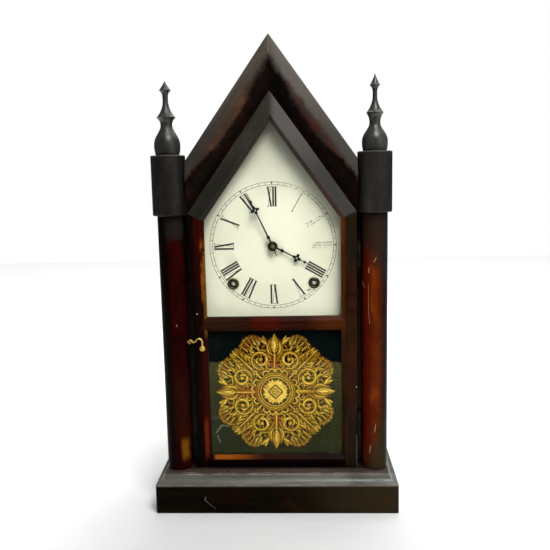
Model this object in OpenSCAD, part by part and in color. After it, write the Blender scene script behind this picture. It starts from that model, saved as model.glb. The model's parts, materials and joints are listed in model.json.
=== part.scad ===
// Steeple mantel clock: wooden gothic case, glazed door, painted dial, and a spring-driven
// striking movement with a rear pendulum and a coil gong.
// +Z is up, the dial faces -Y, and the origin is under the middle of the base. Millimetres.

/* [Base] */
// Height from the underside of the base to the tip of the gable
overall_h = 500; // [490:1:512]
// Width of the base
base_w = 260; // [259:1:272]
// Height of the plinth boards
plinth_h = 31; // [26:1:38]
// Thickness of the plinth boards
plinth_t = 14; // [10:1:18]
// Height of the cove moulding and of the floor board inside it
cove_h = 11.5; // [10:0.5:14]
// Width of the cove moulding, from its outer face to the floor board
cove_w = 18; // [16:1:20]
// Distance that the cove sets the base in
cove_set_in = 9.3; // [7:0.1:10]
// Height of the square fillet above the cove
cove_fillet = 2; // [1:0.5:3]
// Side of the glue blocks in the corners of the plinth
block_w = 16; // [10:1:20]

/* [Case] */
// Width of the case over its side boards
case_w = 206; // [205:1:208]
// Distance from the front of the base back to the front of the case
case_set_back = 33; // [31:0.5:35]
// Thickness of the side boards
side_t = 9; // [7:0.5:12]
// Thickness of the roof boards
roof_t = 8; // [6:0.5:10]
// Thickness of the back board
back_t = 6; // [4:0.5:7]
// Depth of the space between the movement and the back board
back_room = 21.5; // [20:0.5:30]
// Thickness of the face frame behind the door
face_t = 9; // [7:0.5:9.5]
// Width of the opening in the face frame
face_opening_w = 160; // [157:1:161]
// Distance from the tip of the door down to the point of the opening in the face frame
opening_tip_drop = 19; // [15:1:22]
// Slope of the gable, up from level
gable_angle = 54.5; // [54:0.1:55]
// Distance that the roof boards lie below the edge of the gable moulding
roof_set_in = 2; // [1:0.5:3]

/* [Gable moulding] */
// Thickness of the moulding at its outer edge
moulding_outer_t = 11; // [9:0.5:13]
// Thickness of the moulding at its ridge
moulding_ridge_t = 15; // [14:0.5:17]
// Thickness of the moulding beside the door
moulding_inner_t = 7.5; // [6:0.5:8]
// Width of the sloping flat outside the ridge
moulding_flat_w = 14; // [10:1:18]

/* [Columns and finials] */
// Distance between the axes of the two columns
column_spacing = 214; // [213:0.2:216]
// Distance from the front of the base back to the column axes
column_set_back = 27.7; // [26:0.1:29]
// Radius of the columns
column_r = 13.4; // [12:0.1:13.8]
// Distance from the tip of the gable down to the underside of the capitals
capital_drop = 180.4; // [176:0.2:184]
// Height of each capital
capital_h = 62; // [58:0.5:68]
// Radius of the capitals
capital_r = 17.9; // [16.6:0.1:18.4]
// Rounding of the edges of the capitals
capital_edge = 0.8; // [0.4:0.1:2]
// Height of each finial above its capital
finial_h = 76; // [70:1:86]
// Radius of the finial's foot
finial_foot_r = 12; // [10:0.1:13]
// Radius of the finial's ball
finial_ball_r = 13.3; // [12.2:0.1:15]
// Radius of the neck above the ball
finial_neck_r = 5.7; // [4:0.1:7]
// Radius of the wide flange
finial_flange_r = 9.3; // [8:0.1:11]
// Radius of the waist above the flange
finial_waist_r = 2.5; // [2:0.1:4]
// Radius of the small flange below the tip
finial_cap_r = 5.7; // [5:0.1:7]
// Radius of the dowel under the finial
dowel_r = 4; // [3:0.1:5]
// Length of the dowel
dowel_l = 14; // [8:1:20]

/* [Door] */
// Width of the door
door_w = 175.2; // [172:0.2:176.4]
// Distance from the tip of the gable down to the tip of the door
door_tip_drop = 56; // [54:0.5:59]
// Thickness of the door
door_t = 11.6; // [10:0.2:12]
// Gap behind and below the door, and between the door and the gable moulding
door_gap = 0.8; // [0.5:0.1:1.5]
// Width of the door stiles
door_stile_w = 16.1; // [14:0.1:18]
// Width of the sloping rails of the door, across the slope
door_gable_w = 17.7; // [16:0.1:19]
// Distance from the tip of the door down to the lower edge of the middle rail
mid_rail_drop = 248.8; // [244:0.2:254]
// Width of the middle rail
mid_rail_w = 15.3; // [14:0.1:20]
// Width of the bottom rail
bottom_rail_w = 12.5; // [11:0.1:18]
// Width of the sloped edge round the glasses
glass_bevel_w = 4.2; // [2:0.2:5]
// Depth from the front of the door to the glasses
glass_set_back = 5; // [4:0.2:6]
// Thickness of the glasses
glass_t = 2; // [1.6:0.1:3]
// Width of the rebate that holds a glass
rebate_w = 4; // [3:0.2:5]
// Play between a glass and its rebate
glass_play = 0.3; // [0.1:0.1:0.6]

/* [Hinges and latch] */
// Radius of the hinge knuckles
knuckle_r = 1.9; // [1.7:0.1:2.1]
// Radius of the hinge pins
hinge_pin_r = 0.9; // [0.7:0.05:1.1]
// Height of each hinge
hinge_h = 26; // [20:1:36]
// Thickness of the hinge leaves
leaf_t = 0.8; // [0.6:0.1:1]
// Distance from the edge of the door to the hinge axis
hinge_offset = 2.2; // [2.1:0.1:2.3]
// Width of the hinge's foot on the face frame
hinge_foot_w = 4; // [3:0.1:4.4]
// Distance from the top of the base up to the middle of the lower hinge
lower_hinge_rise = 49.5; // [38:0.5:78]
// Distance from the tip of the door down to the middle of the upper hinge
upper_hinge_drop = 168; // [154:1:194]
// Play of turning fits, on the radius
running_play = 0.05; // [0.02:0.01:0.08]
// Distance from the middle rail down to the latch hook's screw
latch_drop = 17.5; // [10:0.1:25]
// Distance from the edge of the door to the latch hook's screw
latch_inset = 10.8; // [10:0.1:11.4]
// Radius of the latch hook's wire
latch_wire_r = 0.9; // [0.7:0.05:1]
// Radius of the arch in the latch hook
latch_bend_r = 3.6; // [3.2:0.1:4]
// Height of the middle of the arch above the latch hook's screw
latch_rise = 7.1; // [6:0.1:8]
// Radius of the catch pin
catch_r = 0.9; // [0.7:0.05:1.1]
// Height of the catch pin above the latch hook's screw
catch_rise = 6.8; // [6:0.1:7.4]
// Distance from the edge of the door to the catch pin
catch_offset = 2.3; // [2.1:0.1:2.6]

/* [Dial and hands] */
// Distance from the tip of the door down to the middle of the dial
dial_drop = 159; // [157:0.5:161]
// Depth from the front of the case to the front of the dial
dial_set_back = 4; // [3:0.2:5]
// Thickness of the dial plate
dial_t = 0.6; // [0.4:0.1:0.8]
// Gap round the edge of the dial
dial_edge_gap = 0.5; // [0.3:0.1:1]
// Distance between the two winding arbors
winding_spacing = 87; // [86:0.2:88]
// Distance from the middle of the dial down to the winding arbors
winding_drop = 40.5; // [40:0.1:41]
// Radius of the winding holes in the dial
winding_hole_r = 4.6; // [4.4:0.1:5]
// Radius of the hole in a winding grommet
grommet_bore_r = 4.25; // [4.2:0.05:4.3]
// Outer radius of the winding grommets
grommet_r = 6.2; // [5.6:0.1:7]
// Radius of the hole in the middle of the dial
dial_hole_r = 4.4; // [4:0.1:5]
// Width of the wooden strips behind the dial
dial_strip_w = 9; // [6:0.5:10]
// Depth of the wooden strips behind the dial
dial_strip_d = 6; // [5:0.5:8]
// Length of the minute hand
minute_hand_l = 62; // [58:0.5:65]
// Length of the hour hand
hour_hand_l = 42; // [38:0.5:46]
// Thickness of the hands
hand_t = 0.7; // [0.5:0.1:0.9]
// Place of the cross on each hand, from the pivot, as a share of the hand's length
cross_place = 0.68; // [0.62:0.01:0.74]
// Half width of the cross on each hand
cross_r = 4.8; // [4.2:0.1:5.4]
// Radius of the eye in the middle of each cross
cross_eye_r = 1.1; // [0.8:0.1:1.4]
// Minutes past the hour that the hands show
shown_minute = 55.8; // [50:0.1:57]
// Hours that the hands show
shown_hour = 3; // [3:1:3]
// Radius of the brass collet in front of the minute hand
collet_r = 5.2; // [4:0.1:6]

/* [Movement] */
// Depth from the front of the case to the movement's front plate
movement_set_back = 14.5; // [14:0.1:15]
// Distance between the two movement plates
plate_gap = 28; // [27.8:0.1:29]
// Thickness of the movement plates
plate_t = 1.5; // [1.2:0.1:1.8]
// Width of the movement plates
plate_w = 116; // [112:1:120]
// Distance from the middle of the dial down to the lower edge of the movement plates
plate_drop = 86; // [85:1:89]
// Height of the movement plates
plate_h = 154; // [152:1:158]
// Radius of the plate pillars
pillar_r = 3; // [2.5:0.1:3.4]
// Distance between the left and right pillars
pillar_spacing = 100; // [98:1:102]
// Height of the lower pillars above the lower edge of the plates
pillar_inset = 7; // [6:0.5:8]
// Radius of the arbors
arbor_r = 1.2; // [1:0.05:1.3]
// Radius of the pivots in the plates
pivot_r = 0.8; // [0.6:0.05:0.9]
// Radius of the winding arbors
winding_r = 2.4; // [2.2:0.1:2.6]
// Side of the winding squares
winding_square = 3.3; // [3:0.1:3.5]
// Thickness of the thin wheels
wheel_t = 1.2; // [1:0.1:1.4]
// Thickness of the great wheels
great_t = 2; // [1.8:0.1:2.2]
// Width of the rims of the wheels
rim_w = 2.4; // [2:0.1:3]
// Radius of the mainsprings
mainspring_r = 19; // [16:0.5:20]
// Height of the verge arbor above the escape arbor
verge_rise = 22.2; // [22:0.1:22.6]
// Height of the escape arbor above the middle of the dial
escape_rise = 30.8; // [30:0.1:31.5]
// Radius of the escape wheel
escape_r = 16; // [15:0.1:16.2]
// Radius of the fly
fly_r = 12; // [10:0.5:12.5]

/* [Pendulum and gong] */
// Depth from the front of the case to the pendulum rod
pendulum_set_back = 52; // [51.6:0.1:52.2]
// Distance from the pendulum's pivot down to the middle of the bob
pendulum_l = 173; // [166:1:180]
// Radius of the bob
bob_r = 19; // [15:0.5:21]
// Thickness of the bob
bob_t = 9; // [7:0.5:9]
// Radius of the pendulum rod
rod_r = 1; // [0.8:0.05:1.2]
// Length of the wire crutch under the verge arbor
crutch_l = 38; // [34:1:44]
// Length of the rod below the bob
rod_tail_l = 8; // [6:0.5:12]
// Distance from the top of the base up to the middle of the gong
gong_rise = 67.5; // [62:0.5:69]
// Radius of the gong wire
gong_wire_r = 1.5; // [1.2:0.1:1.6]
// Inner radius of the gong coil
gong_inner_r = 16; // [15.5:0.1:17]
// Distance between neighbouring turns of the gong
gong_pitch = 7; // [6.8:0.1:7.6]
// Turns of the gong
gong_turns = 4.25; // [3.25:1:4.25]
// Gap between the backboard and the gong wire
gong_clearance = 3.5; // [3.2:0.1:4]
// Gap between the hammer head and the gong
hammer_gap = 2; // [1.5:0.1:3]

/* [Hidden] */
$fn = 48;

// Colours
dark_wood = "#2b1a14";
rosewood = "#5e2315";
pale_wood = "#8a6a48";
brass = "#b08d45";
old_brass = "#7d6434";
black_steel = "#26262a";
bright_steel = "#8c8f94";
dial_paint = "#e6e4d2";
clear_glass = [0.8, 0.86, 0.84, 0.35];
tablet_paint = "#17231f";

// Base and case planes
eps = 0.01;
base_top = plinth_h + cove_h;
base_d = case_set_back + movement_set_back + plate_gap + 2 * plate_t + back_room + back_t;
base_front = -base_d / 2;
base_back = base_d / 2;
case_front = base_front + case_set_back;
face_back = case_front + face_t;
back_front = base_back - back_t;
slope = tan(gable_angle);
roof_drop = roof_set_in / cos(gable_angle);
roof_apex = overall_h - roof_drop;
roof_under_apex = roof_apex - roof_t / cos(gable_angle);

// Columns
capital_z = overall_h - capital_drop;
column_x = column_spacing / 2;
column_y = base_front + column_set_back;
capital_top = capital_z + capital_h;
capital_inner_x = column_x - capital_r;

// Door planes
door_apex = overall_h - door_tip_drop;
door_back = case_front - door_gap / 2;
door_front = door_back - door_t;
door_bottom = base_top + door_gap;
door_half = door_w / 2;
door_shoulder = door_apex - slope * door_half;
glass_front = door_front + glass_set_back;
glass_back = glass_front + glass_t;
bottom_rail_top = door_bottom + bottom_rail_w;
mid_rail_z = door_apex - mid_rail_drop;
sight_half = door_half - door_stile_w;
sight_apex = door_apex - door_gable_w / cos(gable_angle);
sight_shoulder = sight_apex - slope * sight_half;
mid_rail_top = mid_rail_z + mid_rail_w;
rebate_depth = glass_set_back;
moulding_w = (overall_h - door_apex) * cos(gable_angle) - door_gap;
moulding_steps = 8;

// Hinge and latch
hinge_x = door_half + hinge_offset;
hinge_y = door_front + 0.4;
lower_hinge_z = base_top + lower_hinge_rise;
upper_hinge_z = door_apex - upper_hinge_drop;
knuckle_gap = 0.35;
leaf_depth = 8;
latch_x = -door_half + latch_inset;
latch_y = door_front - 1.6;
latch_z = mid_rail_z - latch_drop;
catch_x = -door_half - catch_offset;
catch_z = latch_z + catch_rise;
catch_front = latch_y - 2;

// Dial
dial_z = door_apex - dial_drop;
face_opening_h = door_apex - opening_tip_drop;
dial_front = case_front + dial_set_back;
dial_back = dial_front + dial_t;
face_half = face_opening_w / 2;
dial_half = face_half - dial_edge_gap;
dial_apex = face_opening_h - dial_edge_gap / cos(gable_angle);
dial_low = mid_rail_z + 5;
tack_r = 1.3;

// Movement planes along Y
plate_z = dial_z - plate_drop;
front_plate_y = case_front + movement_set_back;
plates_inner_front = front_plate_y + plate_t;
plates_inner_back = plates_inner_front + plate_gap;
movement_back = plates_inner_back + plate_t;
pillar_z = [plate_z + pillar_inset, plate_z + plate_h - pillar_inset - 2];

// Wheel counts and modules of the time and strike trains
great_teeth = 66;
great_mod = 0.9;
second_pins = 10;
second_teeth = 60;
second_mod = 0.75;
centre_pins = 8;
centre_teeth = 72;
centre_mod = 0.6;
fourth_pins = 7;
fourth_teeth = 72;
fourth_mod = 0.5;
escape_pins = 7;
escape_teeth = 42;
third_teeth = 54;
cannon_pins = 12;
minute_teeth = 36;
cannon_mod = 0.625;
minute_pins = 10;
hour_teeth = 40;
hour_mod = 0.6;

// Distance between a wheel and the pinion that it drives
function mesh_distance(teeth, pins, mod) = (teeth + pins) * mod / 2;
// Direction from one point to another, in degrees from +X towards +Z
function direction(from, to) = atan2(to[1] - from[1], to[0] - from[0]);
// The point at two given distances from two others, on the left of the way from p to q
function meet(p, rp, q, rq) =
    let (d = norm(q - p), u = (q - p) / d, along = (d * d + rp * rp - rq * rq) / (2 * d))
    let (off = sqrt(max(0, rp * rp - along * along)))
    p + u * along + [-u[1], u[0]] * off;
function polar(p, r, a) = p + r * [cos(a), sin(a)];

// Arbor places in the XZ plane
centre_at = [0, dial_z];
time_great_at = [winding_spacing / 2, dial_z - winding_drop];
strike_great_at = [-winding_spacing / 2, dial_z - winding_drop];
escape_at = [0, dial_z + escape_rise];
verge_at = [0, dial_z + escape_rise + verge_rise];
time_second_at = meet(time_great_at, mesh_distance(great_teeth, second_pins, great_mod),
                      centre_at, mesh_distance(second_teeth, centre_pins, second_mod));
fourth_at = meet(escape_at, mesh_distance(fourth_teeth, escape_pins, fourth_mod),
                 centre_at, mesh_distance(centre_teeth, fourth_pins, centre_mod));
strike_second_at = polar(strike_great_at, mesh_distance(great_teeth, second_pins, great_mod), 100);
strike_third_at = polar(strike_second_at, mesh_distance(second_teeth, centre_pins, second_mod), 60);
fly_at = polar(strike_third_at, mesh_distance(third_teeth, fourth_pins, centre_mod), 100);
minute_wheel_at = centre_at + [mesh_distance(minute_teeth, cannon_pins, cannon_mod), 0];
hammer_at = [-20, plate_z + 18];

// Middle planes of the wheels, measured from the inner face of the front plate
great_y = plates_inner_back - 7;
second_y = plates_inner_back - 3;
centre_y = plates_inner_front + 12.6;
fourth_y = plates_inner_front + 7.4;
escape_y = plates_inner_front + 17.6;
third_y = plates_inner_front + 8;
pinion_l = 3.4;
mainspring_front = plates_inner_front + 3;
mainspring_back = great_y - 7;
ratchet_y = great_y - 3;

// Motion work planes, between the dial and the front plate
cannon_y = front_plate_y - 3.2;
hour_wheel_y = front_plate_y - 6;
cannon_r = 2;
hour_pipe_r = 3.2;
hour_hand_y = dial_front - 2.6;
minute_hand_y = hour_hand_y - 2.2;
minute_angle = 90 - shown_minute * 6;
hour_angle = 90 - shown_hour * 30 - shown_minute / 2;

// Pendulum, gong and hammer
pendulum_y = case_front + pendulum_set_back;
bob_z = verge_at[1] - pendulum_l;
gong_y = back_front - gong_clearance - gong_wire_r;
gong_at = [0, base_top + gong_rise];
gong_start = 90;
gong_outer_r = gong_inner_r + gong_pitch * (gong_turns - 0.125);
hammer_dir = 135;
hammer_l = 10;
hammer_r = 3.6;
hammer_head_at = polar(gong_at, gong_outer_r + gong_wire_r + hammer_gap + hammer_l / 2, hammer_dir);

// Extrudes a shape drawn in the XZ plane between two depths
module slab(y0, y1) {
    translate([0, y1, 0]) rotate([90, 0, 0]) linear_extrude(height = y1 - y0) children();
}

// A round bar along Y
module bar_y(at, r, y0, y1) {
    translate([at[0], y1, at[1]]) rotate([90, 0, 0]) cylinder(r = r, h = y1 - y0);
}

module both_sides() {
    children();
    mirror([1, 0, 0]) children();
}

// Outline with a gable: half width, lowest height and height of the point
module gable_outline(half, low, apex) {
    polygon([
        [-half, low], [half, low], [half, apex - slope * half], [0, apex], [-half, apex - slope * half]
    ]);
}

// Space taken by the case behind its front plane, which the columns and capitals fit round
module case_space() {
    slab(case_front, base_back) gable_outline(case_w / 2, base_top, roof_apex);
}

module plinth_front() {
    color(dark_wood) linear_extrude(height = plinth_h) polygon([
        [-base_w / 2, base_front], [base_w / 2, base_front],
        [base_w / 2 - plinth_t, base_front + plinth_t], [-base_w / 2 + plinth_t, base_front + plinth_t]
    ]);
}

module plinth_sides() {
    color(dark_wood) both_sides() linear_extrude(height = plinth_h) polygon([
        [base_w / 2, base_front], [base_w / 2, base_back],
        [base_w / 2 - plinth_t, base_back], [base_w / 2 - plinth_t, base_front + plinth_t]
    ]);
}

module plinth_back() {
    inner = base_w / 2 - plinth_t;
    color(pale_wood) translate([-inner, base_back - plinth_t, 0]) cube([2 * inner, plinth_t, plinth_h]);
}

module corner_blocks() {
    inner_x = base_w / 2 - plinth_t - block_w;
    front_y = base_front + plinth_t;
    back_y = base_back - plinth_t - block_w;
    color(pale_wood) both_sides()
        for (y = [front_y, back_y])
            translate([inner_x, y, plinth_h / 4]) cube([block_w, block_w, plinth_h * 3 / 4]);
}

// Cove moulding along the +X side: a bar with a hollow outer face under a square fillet
module cove_bar(l) {
    lip = 1;
    hollow_r = cove_h - cove_fillet - lip;
    difference() {
        translate([-cove_w, -l / 2, 0]) cube([cove_w, l, cove_h]);
        translate([0, 0, cove_h - cove_fillet]) rotate([90, 0, 0])
            cylinder(r = hollow_r, h = l + 2, center = true);
        translate([-cove_set_in, -l / 2 - 1, cove_h - cove_fillet]) cube([cove_w, l + 2, cove_h]);
    }
}

// Keeps what lies in front of the two mitre planes at the front corners of the base
module front_mitre() {
    reach = base_w;
    linear_extrude(height = base_top + 1) polygon([
        [-base_w / 2, base_front], [base_w / 2, base_front],
        [base_w / 2 - reach / 2, base_front + reach / 2], [-base_w / 2 + reach / 2, base_front + reach / 2]
    ]);
}

module cove_mouldings() {
    color(dark_wood) {
        intersection() {
            translate([0, base_front, plinth_h]) rotate([0, 0, -90]) cove_bar(base_w);
            front_mitre();
        }
        both_sides() difference() {
            translate([base_w / 2, 0, plinth_h]) cove_bar(base_d);
            front_mitre();
        }
    }
}

module floor_board() {
    half = base_w / 2 - cove_w;
    front = base_front + cove_w;
    color(dark_wood) translate([-half, front, plinth_h]) cube([2 * half, base_back - front, cove_h]);
}

module side_boards() {
    outer = case_w / 2;
    inner = outer - side_t;
    color(dark_wood) both_sides() slab(face_back, back_front) polygon([
        [inner, base_top], [outer, base_top],
        [outer, roof_under_apex - slope * outer], [inner, roof_under_apex - slope * inner]
    ]);
}

module roof_boards() {
    outer = case_w / 2;
    color(dark_wood) both_sides() slab(face_back, back_front) polygon([
        [0, roof_under_apex], [outer, roof_under_apex - slope * outer],
        [outer, roof_apex - slope * outer], [0, roof_apex]
    ]);
}

module back_board() {
    color(pale_wood) slab(back_front, base_back) gable_outline(case_w / 2, base_top, roof_apex);
}

// Two stiles and two sloping rails, joined on a level line beside the opening's shoulder
module face_frame() {
    outer = case_w / 2;
    color(dark_wood) {
        both_sides() slab(case_front, face_back) polygon([
            [face_half, base_top], [outer, base_top],
            [outer, roof_apex - slope * outer], [face_half, roof_apex - slope * face_half]
        ]);
        both_sides() slab(case_front, face_back) polygon([
            [0, face_opening_h], [face_half, face_opening_h - slope * face_half],
            [face_half, roof_apex - slope * face_half], [0, roof_apex]
        ]);
    }
}

// Section across the gable moulding: distance in from the gable's edge, thickness
function moulding_section() = concat(
    [[0, 0], [0, moulding_outer_t - 1.5], [0.6, moulding_outer_t - 0.4], [1.8, moulding_outer_t]],
    [[moulding_flat_w, moulding_ridge_t]],
    [for (i = [1:moulding_steps]) let (t = i / moulding_steps)
        [moulding_flat_w + (moulding_w - moulding_flat_w) * t,
         moulding_inner_t + (moulding_ridge_t - moulding_inner_t) * (0.5 + 0.5 * cos(180 * t))]],
    [[moulding_w, 0]]
);

// Runs a section along the right-hand slope: its x is the distance in from the line
// through the apex, and its y is the distance forward from the plane y = back
module along_slope(apex, back) {
    reach = 150;
    multmatrix([
        [-sin(gable_angle), 0, -cos(gable_angle), reach],
        [0, -1, 0, back],
        [-cos(gable_angle), 0, sin(gable_angle), apex - slope * reach],
        [0, 0, 0, 1]
    ]) linear_extrude(height = reach * 2.2) children();
}

module gable_mouldings() {
    color(rosewood) both_sides() intersection() {
        along_slope(overall_h, case_front) polygon(moulding_section());
        translate([0, case_front - 2 * moulding_ridge_t, capital_z - capital_h])
            cube([capital_inner_x, 3 * moulding_ridge_t, overall_h]);
    }
}

module columns() {
    color(rosewood) both_sides() difference() {
        translate([column_x, column_y, base_top]) cylinder(r = column_r, h = capital_z - base_top);
        case_space();
    }
}

module capitals() {
    color(dark_wood) both_sides() difference() {
        translate([column_x, column_y, capital_z]) rotate_extrude() polygon([
            [0, 0], [capital_r - capital_edge, 0], [capital_r, capital_edge],
            [capital_r, capital_h - capital_edge], [capital_r - capital_edge, capital_h], [0, capital_h]
        ]);
        case_space();
        translate([column_x, column_y, capital_top - dowel_l - 1]) cylinder(r = dowel_r, h = dowel_l + 2);
    }
}

// Curved run of a turned profile from one height and radius to another. A positive power
// starts along the axis, a negative one ends along it, and with no power it does both.
function turned(h0, r0, h1, r1, power, steps = 7) = [
    for (i = [1:steps])
        let (t = i / steps)
        let (s = power > 0 ? pow(t, power) : power < 0 ? 1 - pow(1 - t, -power) : 0.5 - 0.5 * cos(180 * t))
        [r0 + (r1 - r0) * s, (h0 + (h1 - h0) * t) * finial_h]
];

// Turned finials, from the foot on the capital to the tip, with a dowel below
module finials() {
    rim = 0.8 / finial_h;
    ball = 0.095;
    neck = 0.371;
    flange = 0.501;
    waist = 0.73;
    cap = 0.86;
    color(dark_wood) both_sides()
        translate([column_x, column_y, capital_top]) rotate_extrude() polygon(concat(
        [[0, -dowel_l], [dowel_r, -dowel_l], [dowel_r, 0], [finial_foot_r, 0]],
        turned(0, finial_foot_r, ball, finial_ball_r, -2),
        turned(ball, finial_ball_r, neck, finial_neck_r, 0, 12),
        turned(neck, finial_neck_r, flange, finial_flange_r, 2.4),
        [[finial_flange_r, (flange + rim) * finial_h]],
        turned(flange + rim, finial_flange_r, waist, finial_waist_r, -2.2),
        turned(waist, finial_waist_r, cap, finial_cap_r, 4),
        [[finial_cap_r, (cap + rim) * finial_h]],
        turned(cap + rim, finial_cap_r, 1, 0.5, -1.2, 4),
        [[0, finial_h]]
    ));
}

// Strips glued inside the face frame, which the dial lies against
module dial_strips() {
    strip_back = dial_back + dial_strip_d;
    inner = face_half - dial_strip_w;
    low = dial_low + 2;
    shoulder = face_opening_h - slope * face_half;
    drop = dial_strip_w / cos(gable_angle);
    color(pale_wood) {
        both_sides() slab(dial_back, strip_back) polygon([
            [inner, low], [face_half, low], [face_half, shoulder],
            [inner, face_opening_h - drop - slope * inner]
        ]);
        both_sides() slab(dial_back, strip_back) polygon([
            [0, face_opening_h - drop], [inner, face_opening_h - drop - slope * inner],
            [face_half, shoulder], [0, face_opening_h]
        ]);
        slab(dial_back, strip_back) polygon([
            [-inner, low], [inner, low], [inner, low + dial_strip_w / 2], [-inner, low + dial_strip_w / 2]
        ]);
    }
}

module dial() {
    color(dial_paint) slab(dial_front, dial_back) difference() {
        gable_outline(dial_half, dial_low, dial_apex);
        translate(centre_at) circle(r = dial_hole_r);
        translate(time_great_at) circle(r = winding_hole_r);
        translate(strike_great_at) circle(r = winding_hole_r);
    }
}

module winding_grommets() {
    color(old_brass) both_sides()
        translate([time_great_at[0], dial_front, time_great_at[1]]) rotate([90, 0, 0]) rotate_extrude()
            polygon([
                [grommet_bore_r, -dial_t - 0.4], [winding_hole_r, -dial_t - 0.4], [winding_hole_r, 0],
                [grommet_r, 0], [grommet_r, 0.3], [grommet_r - 0.7, 0.8], [grommet_bore_r + 0.5, 0.9],
                [grommet_bore_r, 0.5]
            ]);
}

// Small round-headed nails through the edge of the dial into the strips
module dial_tacks() {
    side = dial_half - 3;
    shoulder = dial_apex - slope * side - 12;
    color(old_brass) for (p = [[side, dial_low + 12], [-side, dial_low + 12], [side, shoulder],
                               [-side, shoulder], [0, dial_apex - 8]])
        translate([p[0], dial_front, p[1]]) rotate([90, 0, 0]) rotate_extrude()
            polygon([[0, 0], [tack_r, 0], [tack_r * 0.8, 0.4], [0, 0.6]]);
}

module hinge_places() {
    for (z = [lower_hinge_z, upper_hinge_z]) translate([hinge_x, hinge_y, z]) children();
}

// Case leaf: two knuckles on arms, a web back to the case and a foot on the face frame
module hinge_case_leaves() {
    third = hinge_h / 3;
    web_d = case_front - hinge_y;
    web_front = knuckle_r + knuckle_gap;
    color(old_brass) hinge_places() {
        for (z = [-hinge_h / 2, hinge_h / 2 - third])
            translate([0, 0, z]) linear_extrude(height = third) difference() {
                union() {
                    circle(r = knuckle_r);
                    square([leaf_t, web_front]);
                }
                circle(r = hinge_pin_r);
            }
        translate([0, web_front, -hinge_h / 2]) linear_extrude(height = hinge_h) {
            square([leaf_t, web_d - web_front]);
            translate([0, web_d - web_front - leaf_t]) square([hinge_foot_w, leaf_t]);
        }
    }
}

module hinge_pins() {
    color(old_brass) hinge_places() {
        cylinder(r = hinge_pin_r, h = hinge_h, center = true);
        translate([0, 0, hinge_h / 2]) cylinder(r = knuckle_r * 0.8, h = 0.8);
    }
}

// Door leaf: the middle knuckle on an arm, and a leaf on the edge of the door
module hinge_door_leaves() {
    third = hinge_h / 3 - 2 * knuckle_gap;
    leaf_front = knuckle_r + knuckle_gap;
    color(old_brass) hinge_places() {
        translate([0, 0, -third / 2]) linear_extrude(height = third) difference() {
            union() {
                circle(r = knuckle_r);
                translate([-hinge_offset, 0]) square([hinge_offset, leaf_t]);
                translate([-hinge_offset, 0]) square([leaf_t, leaf_front]);
            }
            circle(r = hinge_pin_r + running_play);
        }
        translate([-hinge_offset, leaf_front, -hinge_h / 2])
            cube([leaf_t, leaf_depth - leaf_front, hinge_h]);
    }
}

// Pin that stands out of the face frame beside the door, for the latch hook
module catch_pin() {
    color(brass) {
        bar_y([catch_x, catch_z], catch_r, catch_front, case_front);
        bar_y([catch_x, catch_z], catch_r + 0.4, catch_front - 0.6, catch_front);
    }
}

// Section across a door member: distance in from its outer edge, distance back from the front
function member_section(w, outer_glass = false) = [
    [outer_glass ? glass_bevel_w : 0, 0],
    [w - glass_bevel_w, 0], [w, glass_set_back * 0.7], [w, rebate_depth],
    [w - rebate_w, rebate_depth], [w - rebate_w, door_t], [outer_glass ? rebate_w : 0, door_t],
    if (outer_glass) [rebate_w, rebate_depth],
    if (outer_glass) [0, rebate_depth],
    if (outer_glass) [0, glass_set_back * 0.7]
];

// Region of the door above the mitres between stiles and sloping rails
module above_shoulder_mitre() {
    run = door_half - sight_half;
    rise = door_shoulder - sight_shoulder;
    far = 40;
    slab(door_front - 1, door_back + 1) polygon([
        [0, sight_shoulder - rise * sight_half / run], [door_half + far * run, door_shoulder + far * rise],
        [door_half + far * run, overall_h + far * rise], [0, overall_h + far * rise]
    ]);
}

module door_stile_right() {
    color(rosewood) difference() {
        translate([door_half, door_front, door_bottom]) mirror([1, 0, 0])
            linear_extrude(height = door_apex - door_bottom) polygon(member_section(door_stile_w));
        above_shoulder_mitre();
    }
}

module door_stile_left() {
    mirror([1, 0, 0]) door_stile_right();
}

module door_gable_rail_right() {
    color(dark_wood) intersection() {
        along_slope(door_apex, door_front) mirror([0, 1, 0]) polygon(member_section(door_gable_w));
        above_shoulder_mitre();
    }
}

module door_gable_rail_left() {
    mirror([1, 0, 0]) door_gable_rail_right();
}

// A level rail between the stiles, fitted over the sloped edge of each stile
module level_rail(z0, w, both_edges) {
    reach = sight_half + glass_bevel_w;
    difference() {
        translate([-reach, door_front, z0]) rotate([90, 0, 90]) linear_extrude(height = 2 * reach)
            polygon([for (p = member_section(w, both_edges)) [p[1], p[0]]]);
        door_stile_right();
        door_stile_left();
    }
}

module door_mid_rail() {
    color(rosewood) level_rail(mid_rail_z, mid_rail_w, true);
}

module door_bottom_rail() {
    color(rosewood) level_rail(door_bottom, bottom_rail_top - door_bottom, false);
}

module dial_glass() {
    grow = rebate_w - glass_play;
    color(clear_glass) slab(glass_front, glass_back)
        gable_outline(sight_half + grow, mid_rail_top - grow, sight_apex + grow / cos(gable_angle));
}

module tablet_glass() {
    grow = rebate_w - glass_play;
    color(tablet_paint) slab(glass_front, glass_back)
        translate([-sight_half - grow, bottom_rail_top - grow])
            square([2 * (sight_half + grow), mid_rail_z - bottom_rail_top + 2 * grow]);
}

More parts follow.
